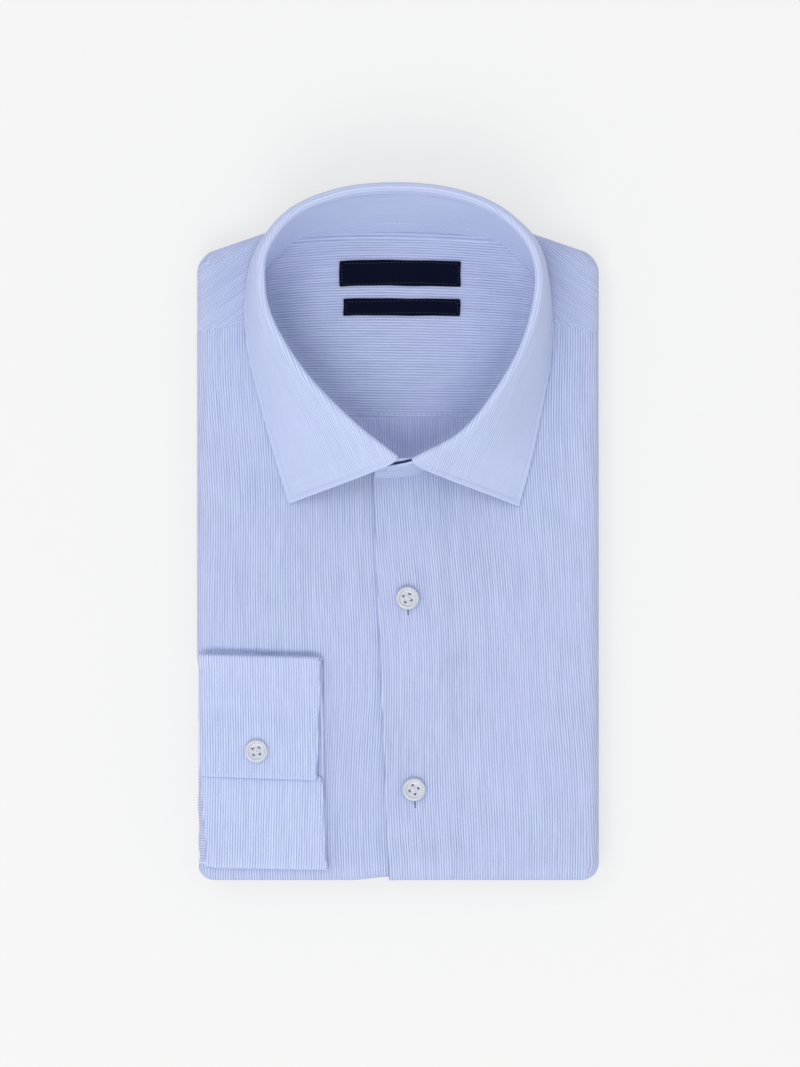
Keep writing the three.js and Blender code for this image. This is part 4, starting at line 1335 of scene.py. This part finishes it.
def cuff_stitches():
    """Stitches beside the cuff's seam to the sleeve and round its free edges."""
    grid, across = cuff_surface()[:2]
    y, level, length, split = cuff_path()
    columns = np.arange(grid.shape[1])
    width = across[:, -1:] - across[:, :1]
    from_left = across - across[:, :1]
    tubes = []

    def run(first_row, last_row, offset, from_right=False):
        rows = np.arange(first_row, last_row)
        spots = []
        for row in rows:
            if from_right:
                spots.append(np.interp(width[row, 0] - offset, from_left[row], columns))
            else:
                spots.append(np.interp(offset, from_left[row], columns))
        line, normal = upper_line(grid, CUFF_WALL, rows.astype(float), np.array(spots))
        tubes.extend(stitch_line(line, normal))

    front_start = int(np.argmax((np.arange(len(y)) > split) & (level >= LEVEL_TOP) & (y < -150)))
    front_end = int(np.argmax((np.arange(len(y)) > front_start) & (y > CUFF_LAP_EDGE - 1.5)))
    run(1, split - 2, 9.5)
    run(1, split - 2, 1.5, True)
    run(front_start + 1, front_end, 9.5)
    run(front_start + 1, front_end, 1.5, True)
    # Along the lap's end
    side_columns = np.arange(1, grid.shape[1] - 1).astype(float)
    row = np.interp(1.6, length, np.arange(len(length)))
    line, normal = upper_line(grid, CUFF_WALL, np.full(side_columns.shape, row), side_columns)
    tubes.extend(stitch_line(line, normal))
    return tubes


def label_stitches():
    """Navy stitches round both labels."""
    tubes = []
    for left, right, top, bottom in [row[2:] for row in LABELS]:
        inset = 0.9
        corners = [(left + inset, bottom + inset), (right - inset, bottom + inset),
                   (right - inset, top - inset), (left + inset, top - inset)]
        for (a1, b1), (a2, b2) in zip(corners, corners[1:] + corners[:1]):
            count = max(12, int(math.hypot(a2 - a1, b2 - b1)))
            a = np.linspace(a1, a2, count)
            b = np.linspace(b1, b2, count) + 0.2 * np.sin(a / 8.5)
            lift = np.full(a.shape, SKIN + SEAM_GAP + 0.78)
            tubes += stitch_line(*over_cloth(a, b, lift, hollow_height), 0.13, 1.3, 0.6)
    return tubes


def satin_buttonhole(middle, way, up, length):
    """Buttonhole: close stitches on both sides of a slit, and a bar at each end."""
    middle = np.asarray(middle, dtype=float)
    way = unit(np.asarray(way, dtype=float))
    up = unit(np.asarray(up, dtype=float))
    side = np.cross(up, way)
    tubes = []
    spacing = 0.34
    count = int(length / spacing)
    for number in range(count + 1):
        at = middle + way * (number * spacing - length / 2)
        end = abs(number * spacing - length / 2) > length / 2 - 0.8
        inner = -0.02 if end else 0.26
        reach = 1.28 + 0.06 * math.sin(number * 1.7)
        for sign in (-1, 1):
            start = at + side * sign * inner + way * 0.05 * math.sin(number * 2.9)
            stop = at + side * sign * reach
            line = np.array([mix(start, stop, share) for share in (0, 0.2, 0.5, 0.8, 1)])
            line = line + up * (np.array([0.0, 0.14, 0.18, 0.12, -0.12]))[:, None]
            radii = np.array([0.10, 0.16, 0.18, 0.16, 0.08])
            tubes.append(thread_tube(line, np.repeat(up[None], 5, axis=0), radii))
    return tubes


def slit(middle, way, up, length, width=0.30):
    """Dark tube in the opening between the two sides of a buttonhole: painted shade for the shadow down
    the slit.
    """
    way = unit(np.asarray(way, dtype=float))
    up = unit(np.asarray(up, dtype=float))
    at = np.linspace(-length / 2 + 0.6, length / 2 - 0.6, 9)
    line = np.asarray(middle, dtype=float) + at[:, None] * way + up * 0.02
    radii = width * np.sin(np.linspace(0.35, math.pi - 0.35, 9)) ** 0.5
    return [thread_tube(line, np.repeat(up[None], 9, axis=0), radii)]


def surface_spot(kind, x, y):
    """Place and upward direction on the cloth under a button or buttonhole."""
    at = np.array([x, x + 0.5, x]), np.array([y, y, y + 0.5])
    height = pack_height(*at)
    if kind == "cuff":
        height = height + SKIN + LEVEL_LAP + CUFF_WALL / 2
    else:
        height = height + 2 * SKIN
    places = np.stack([at[0], at[1], height], axis=-1)
    up = unit(np.cross(places[1] - places[0], places[2] - places[0]))
    return places[0], up


def button_thread(name, x, y, turn):
    """Thread through the four holes, crossed on top, and its shank underneath."""
    seat = button_seat(name, x, y)
    tubes = []
    for corner_x, corner_y, rise in ((1, 1, 0.0), (1, -1, 0.26)):
        for strand in (-0.2, 0.2):
            points = []
            for share in np.linspace(-1, 1, 11):
                from_x = HOLE_FROM_MIDDLE * corner_x * share - strand * corner_y * 0.7
                from_y = HOLE_FROM_MIDDLE * corner_y * share + strand * corner_x * 0.7
                arch = 1 - abs(share) ** 6
                height = 1.5 + (0.45 + rise) * arch - 0.9 * (abs(share) > 0.999)
                points.append((*turned_place(x, y, turn, from_x, from_y), seat + height))
            line = np.array(points)
            up = np.repeat(np.array([[0.0, 0.0, 1.0]]), len(line), axis=0)
            tubes.append(thread_tube(line, up, np.full(len(line), 0.19)))
    line = np.array([(x, y, seat - 0.6), (x, y + 0.01, seat - 0.2), (x, y, seat + 0.3)])
    side = np.repeat(np.array([[1.0, 0.0, 0.0]]), 3, axis=0)
    tubes.append(thread_tube(line, side, np.array([1.5, 1.2, 1.3])))
    return tubes


BUTTONHOLES = [
    # name, what it is in, middle, way, length
    ("buttonhole_front_1", "front", (4.9, -35.6), (0.04, -1.0), 13.0),
    ("buttonhole_front_2", "front", (8.3, -131.6), (0.06, -1.0), 13.4),
    ("buttonhole_cuff", "cuff", (-70.7, -106.2), (0.0, 1.0), 13.0),
]


def stand_buttonhole():
    """Middle, way and direction of the buttonhole across the stand's upper end."""
    grid = stand_surface()[0]
    length = stand_surface()[2]
    row = np.interp(length[-1, 0] - 8.5, length[:, 0], np.arange(len(grid)))
    line, normal = grid_line(grid, -STAND_WALL, np.array([row - 1, row, row + 1]),
                             np.array([14.0, 14.0, 14.0]))
    return line[1], line[2] - line[0], -normal[1]


# Materials, all worked out from nodes. The attribute cloth holds millimetres across the stripes
# and along them, and how plain the cloth is.

STRIPE = 1.28
THREAD = 0.28


def new_material(name):
    material = bpy.data.materials.new(name)
    material.use_nodes = True
    tree = material.node_tree
    return material, tree, tree.nodes["Principled BSDF"]


def feed(tree, socket, value):
    if isinstance(value, bpy.types.NodeSocket):
        tree.links.new(value, socket)
    else:
        socket.default_value = value


def calc(tree, operation, *values):
    node = tree.nodes.new("ShaderNodeMath")
    node.operation = operation
    for socket, value in zip(node.inputs, values):
        feed(tree, socket, value)
    return node.outputs[0]


def product(tree, first, second):
    return calc(tree, "MULTIPLY", first, second)


def add_up(tree, *values):
    total = values[0]
    for value in values[1:]:
        total = calc(tree, "ADD", total, value)
    return total


def cloth_place(tree):
    """Millimetres across and along the cloth, and plainness."""
    source = tree.nodes.new("ShaderNodeAttribute")
    source.attribute_name = "cloth"
    split = tree.nodes.new("ShaderNodeSeparateXYZ")
    tree.links.new(source.outputs["Vector"], split.inputs[0])
    return split.outputs[0], split.outputs[1], split.outputs[2]


def object_place(tree):
    """Metres in the part's own frame."""
    source = tree.nodes.new("ShaderNodeTexCoord")
    return source.outputs["Object"]


def joined(tree, x, y, z):
    node = tree.nodes.new("ShaderNodeCombineXYZ")
    for socket, value in zip(node.inputs, (x, y, z)):
        feed(tree, socket, value)
    return node.outputs[0]


def noise(tree, vector, scale, detail=2.0, rough=0.5):
    """Smooth noise, about 0 to 1."""
    node = tree.nodes.new("ShaderNodeTexNoise")
    feed(tree, node.inputs["Vector"], vector)
    node.inputs["Scale"].default_value = scale
    node.inputs["Detail"].default_value = detail
    node.inputs["Roughness"].default_value = rough
    return node.outputs["Fac"]


def cloth_noise(tree, places, scales, layer, detail=2.0):
    """Noise over the cloth, with a scale for each way across it."""
    first, second = (product(tree, place, scale) for place, scale in zip(places, scales))
    return noise(tree, joined(tree, first, second, layer), 1.0, detail)


def spread(tree, value, low, high, new_low=0.0, new_high=1.0):
    node = tree.nodes.new("ShaderNodeMapRange")
    node.interpolation_type = "SMOOTHSTEP"
    for socket, number in zip(node.inputs, (value, low, high, new_low, new_high)):
        feed(tree, socket, number)
    return node.outputs[0]


def blend(tree, share, first, second):
    node = tree.nodes.new("ShaderNodeMix")
    node.data_type = "RGBA"
    feed(tree, node.inputs[0], share)
    for socket, value in ((node.inputs[6], first), (node.inputs[7], second)):
        feed(tree, socket, value if isinstance(value, bpy.types.NodeSocket) else (*value, 1.0))
    return node.outputs[2]


def times(tree, color, factor):
    """A colour made lighter or darker by a number."""
    node = tree.nodes.new("ShaderNodeVectorMath")
    node.operation = "SCALE"
    tree.links.new(color, node.inputs[0])
    feed(tree, node.inputs["Scale"], factor)
    return node.outputs[0]


def bump(tree, height, distance, strength):
    node = tree.nodes.new("ShaderNodeBump")
    node.inputs["Distance"].default_value = distance
    node.inputs["Strength"].default_value = strength
    tree.links.new(height, node.inputs["Height"])
    return node.outputs[0]


def set_surface(shader, values):
    for name, value in values.items():
        shader.inputs[name].default_value = value


def striped_cloth(name, light, dark, contrast):
    """Shirting woven of coloured yarns: fine stripes that fade and wander, over a plain weave."""
    material, tree, shader = new_material(name)
    across, along, plainness = cloth_place(tree)

    # The stripes wander by one or two tenths of a millimetre
    slow = cloth_noise(tree, (across, along), (0.16, 0.05), 0.0)
    wander = product(tree, calc(tree, "SUBTRACT", slow, 0.5), 0.42)
    place = calc(tree, "DIVIDE", calc(tree, "ADD", across, wander), STRIPE)
    wave = calc(tree, "COSINE", product(tree, place, 2 * math.pi))
    line = spread(tree, wave, -0.75, 0.75)

    # Each stripe has its own depth of colour, and fades in long uneven stretches
    row = calc(tree, "ROUND", product(tree, place, 2.0))
    own = cloth_noise(tree, (row, along), (3.7, 0.021), 3.0)
    streak = cloth_noise(tree, (place, along), (1.9, 0.075), 8.0, 3.0)
    own_depth = spread(tree, own, 0.3, 0.7, 0.55, 1.15)
    depth = product(tree, own_depth, spread(tree, streak, 0.28, 0.62, 0.35, 1.1))
    clear = product(tree, calc(tree, "SUBTRACT", 1.0, plainness), contrast)
    depth = product(tree, depth, clear)
    swing = product(tree, calc(tree, "SUBTRACT", line, 0.5), depth)
    share = calc(tree, "ADD", swing, 0.5)
    share.node.use_clamp = True
    color = blend(tree, share, dark, light)

    # Slubs of the weft, and a soft unevenness of the dye
    weft = cloth_noise(tree, (across, along), (0.09, 1.9), 5.0, 3.0)
    cloud = cloth_noise(tree, (across, along), (0.035, 0.03), 1.0, 3.0)
    tone = add_up(tree, 0.935, product(tree, weft, 0.06), product(tree, cloud, 0.07))
    tinted = blend(tree, spread(tree, cloud, 0.4, 0.62, 0.0, 0.16), color, (0.52, 0.53, 0.84))
    tree.links.new(times(tree, tinted, tone), shader.inputs["Base Color"])

    # Weave: warp and weft threads over and under, with crinkles a few millimetres wide
    warp = calc(tree, "SINE", product(tree, across, 2 * math.pi / THREAD))
    woof = calc(tree, "SINE", product(tree, along, 2 * math.pi / THREAD))
    weave = product(tree, product(tree, warp, woof), 0.035)
    crinkle = cloth_noise(tree, (across, along), (0.11, 0.07), 2.0)
    cord = product(tree, line, 0.03)
    height = add_up(tree, weave, cord, product(tree, crinkle, 0.14))
    tree.links.new(bump(tree, height, 1.0 * MM, 0.8), shader.inputs["Normal"])
    rough = spread(tree, weft, 0.3, 0.7, 0.72, 0.86)
    tree.links.new(rough, shader.inputs["Roughness"])
    set_surface(shader, {
        "Specular IOR Level": 0.28,
        "Sheen Weight": 0.16,
        "Sheen Roughness": 0.4,
        "Sheen Tint": (0.82, 0.87, 1.0, 1.0),
    })
    return material


def label_weave(name):
    """Navy damask of the labels: fine satin ribs."""
    material, tree, shader = new_material(name)
    across, along = cloth_place(tree)[:2]
    rib = calc(tree, "SINE", product(tree, across, 2 * math.pi / 0.34))
    cross = calc(tree, "SINE", product(tree, along, 2 * math.pi / 0.42))
    speck = cloth_noise(tree, (along, across), (1.3, 4.0), 0.0, 3.0)
    share = add_up(tree, spread(tree, speck, 0.35, 0.75, 0.0, 0.6), product(tree, rib, 0.18))
    share.node.use_clamp = True
    color = blend(tree, share, (0.0014, 0.0027, 0.0122), (0.0048, 0.0076, 0.0255))
    tree.links.new(color, shader.inputs["Base Color"])
    ribs = add_up(tree, product(tree, rib, 0.04), product(tree, cross, 0.03))
    height = add_up(tree, ribs, product(tree, speck, 0.05))
    tree.links.new(bump(tree, height, 1.0 * MM, 0.8), shader.inputs["Normal"])
    tree.links.new(spread(tree, speck, 0.3, 0.7, 0.5, 0.7), shader.inputs["Roughness"])
    set_surface(shader, {"Specular IOR Level": 0.04, "Sheen Weight": 0.0, "Sheen Roughness": 0.35})
    return material


def pearl_shell(name):
    """Pale mother-of-pearl: cloudy layers of slightly different tint under a hard gloss."""
    material, tree, shader = new_material(name)
    place = object_place(tree)
    cloud = noise(tree, place, 260.0, 3.0, 0.55)
    layer = noise(tree, place, 900.0, 2.0, 0.5)
    color = blend(tree, spread(tree, cloud, 0.35, 0.65), (0.50, 0.57, 0.64), (0.585, 0.57, 0.66))
    color = blend(tree, spread(tree, layer, 0.45, 0.75, 0.0, 0.4), color, (0.64, 0.67, 0.73))
    tree.links.new(color, shader.inputs["Base Color"])
    tree.links.new(spread(tree, layer, 0.3, 0.7, 0.16, 0.30), shader.inputs["Roughness"])
    tree.links.new(bump(tree, cloud, 0.12 * MM, 0.5), shader.inputs["Normal"])
    set_surface(shader, {"Specular IOR Level": 0.55, "Coat Weight": 0.5, "Coat Roughness": 0.12})
    return material


def sewing_thread(name, color, shade):
    """Twisted thread: fine slanted plies."""
    material, tree, shader = new_material(name)
    place = object_place(tree)
    ply = noise(tree, place, 3200.0, 2.0, 0.6)
    tree.links.new(blend(tree, spread(tree, ply, 0.35, 0.65), shade, color), shader.inputs["Base Color"])
    tree.links.new(spread(tree, ply, 0.3, 0.7, 0.5, 0.72), shader.inputs["Roughness"])
    tree.links.new(bump(tree, ply, 0.06 * MM, 0.6), shader.inputs["Normal"])
    set_surface(shader, {"Sheen Weight": 0.2, "Sheen Roughness": 0.4})
    return material


def paper(name):
    """Pale studio paper."""
    material, tree, shader = new_material(name)
    grain = noise(tree, object_place(tree), 90.0, 4.0, 0.6)
    color = blend(tree, spread(tree, grain, 0.3, 0.7), (0.257, 0.260, 0.257), (0.263, 0.263, 0.263))
    tree.links.new(color, shader.inputs["Base Color"])
    set_surface(shader, {
        "Emission Color": (1.0, 1.0, 1.0, 1.0),
        "Emission Strength": 0.626,
        "Roughness": 0.9,
        "Specular IOR Level": 0.1,
    })
    return material


LIGHT_STRIPE = np.array((0.590, 0.672, 0.912))
DARK_STRIPE = np.array((0.326, 0.374, 0.614))


def shirting_toned_for_light(name, tone, contrast):
    """Shirting painted lighter or darker than on the fronts: the same cloth, toned lighter as painted
    light and darker as painted shade.
    """
    light = tuple(float(x) for x in np.minimum(LIGHT_STRIPE * tone, 0.985))
    dark = tuple(float(x) for x in np.minimum(DARK_STRIPE * tone, 0.985))
    return striped_cloth(name, light, dark, contrast)


# Copies of one shirting, toned lighter or darker: painted light and painted shade, as noted at each.
shirting = shirting_toned_for_light("shirting", 1.0, 1.1)
# Yoke and back seen down the neck: darker copies, painted shade for the well inside the collar.
inside_shirting_painted_shade = shirting_toned_for_light("inside_shirting_painted_shade", 0.94, 1.0)
back_shirting_painted_shade = shirting_toned_for_light("back_shirting_painted_shade", 0.93, 1.0)
# Cuff painted lighter: partly its interlined double layer, partly painted light on the raised lap.
cuff_cloth = shirting_toned_for_light("cuff_shirting", 1.08, 1.1)
# Collar leaf and stand painted lighter, as painted light.
collar_cloth = shirting_toned_for_light("collar_cloth", 1.15, 0.85)
stand_cloth = shirting_toned_for_light("stand_cloth", 1.14, 1.0)
label_cloth = label_weave("label_cloth")
pearl = pearl_shell("pearl_button")
pale_thread = sewing_thread("pale_thread", (0.66, 0.74, 0.95), (0.48, 0.55, 0.80))
white_thread = sewing_thread("white_thread", (0.80, 0.83, 0.90), (0.62, 0.65, 0.76))
navy_thread = sewing_thread("navy_thread", (0.010, 0.014, 0.036), (0.004, 0.006, 0.018))
# Near-black colour of the tubes in the buttonhole slits: painted shade.
slit_shade = sewing_thread("slit_shade", (0.06, 0.075, 0.16), (0.035, 0.045, 0.10))


# The pieces

pieces = {}
pieces["front_left"] = build_front_left(shirting)
pieces["front_right"] = build_front_right(shirting)
pieces["yoke"] = build_yoke(shirting, inside_shirting_painted_shade)
pieces["back"] = build_back(back_shirting_painted_shade)
pieces["collar_stand"] = build_stand(stand_cloth)
pieces["collar_leaf"] = build_leaf(collar_cloth)
pieces["cuff"] = build_cuff(cuff_cloth)
pieces["sleeve"] = build_sleeve(shirting)
pieces["folded_core"] = build_layers(shirting)
for row in LABELS:
    pieces[row[1]] = build_label(row, label_cloth)
for name, x, y, turn in BUTTONS:
    pieces[name] = build_button(name, x, y, turn, pearl)

for node, piece in pieces.items():
    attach(piece, "root")
    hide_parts(node)

# Sewing rides along with the pieces


def sewn(name, tubes, material):
    piece = thread_object(name, tubes, material)
    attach(piece, "root")


sewn("leaf_stitches", leaf_stitches(), pale_thread)
sewn("stand_stitches", stand_stitches(), pale_thread)
sewn("yoke_stitches", yoke_stitches(), pale_thread)
sewn("cuff_stitches", cuff_stitches(), pale_thread)
sewn("label_stitches", label_stitches(), navy_thread)
for name, kind, place, way, length in BUTTONHOLES:
    middle, up = surface_spot(kind, *place)
    flat_way = np.array([way[0], way[1], 0.0])
    flat_way = flat_way - up * np.dot(flat_way, up)
    sewn(name, satin_buttonhole(middle, flat_way, up, length), pale_thread)
    sewn(name + "_slit", slit(middle, flat_way, up, length), slit_shade)
middle, way, up = stand_buttonhole()
sewn("buttonhole_stand", satin_buttonhole(middle, way, up, 9.0), pale_thread)
sewn("buttonhole_stand_slit", slit(middle, way, up, 9.0, 0.2), slit_shade)
for name, x, y, turn in BUTTONS:
    sewn(name + "_thread", button_thread(name, x, y, turn), white_thread)

# Floor, light and camera

floor_mesh = bpy.data.meshes.new("floor")
FLOOR_HALF = 4.0
floor_mesh.from_pydata(
    [(-FLOOR_HALF, -FLOOR_HALF, 0), (FLOOR_HALF, -FLOOR_HALF, 0),
     (FLOOR_HALF, FLOOR_HALF, 0), (-FLOOR_HALF, FLOOR_HALF, 0)],
    [], [(0, 1, 2, 3)],
)
floor_mesh.materials.append(paper("floor_paper"))
floor = new_object("floor", floor_mesh)

world = bpy.data.worlds.new("studio")
world.use_nodes = True
sky = world.node_tree.nodes["Background"]
sky.inputs["Color"].default_value = (1.0, 1.0, 1.0, 1.0)
sky.inputs["Strength"].default_value = 0.77
bpy.context.scene.world = world


def soft_light(name, place, size, power):
    data = bpy.data.lights.new(name, "AREA")
    data.shape = "DISK"
    data.size = size
    data.energy = power
    lamp = new_object(name, data)
    lamp.location = place
    lamp.rotation_euler = (-Vector(place)).to_track_quat("-Z", "Y").to_euler()
    lamp.visible_camera = False


soft_light("key", (-1.1, 0.8, 2.1), 1.2, 7.8)
soft_light("fill", (-0.3, -1.3, 2.1), 1.6, 20.5)

camera_data = bpy.data.cameras.new("camera")
camera = new_object("camera", camera_data)
camera_data.sensor_fit = "VERTICAL"
camera_data.sensor_height = SENSOR_HEIGHT
camera_data.lens = SENSOR_HEIGHT * (CAMERA_HEIGHT - CLOTH_TOP) / FRAME_HEIGHT
camera_data.clip_end = 20
camera.location = (PHOTO_CENTRE[0] * MM, PHOTO_CENTRE[1] * MM, CAMERA_HEIGHT)
bpy.context.scene.camera = camera
bpy.context.scene.view_settings.view_transform = "Standard"

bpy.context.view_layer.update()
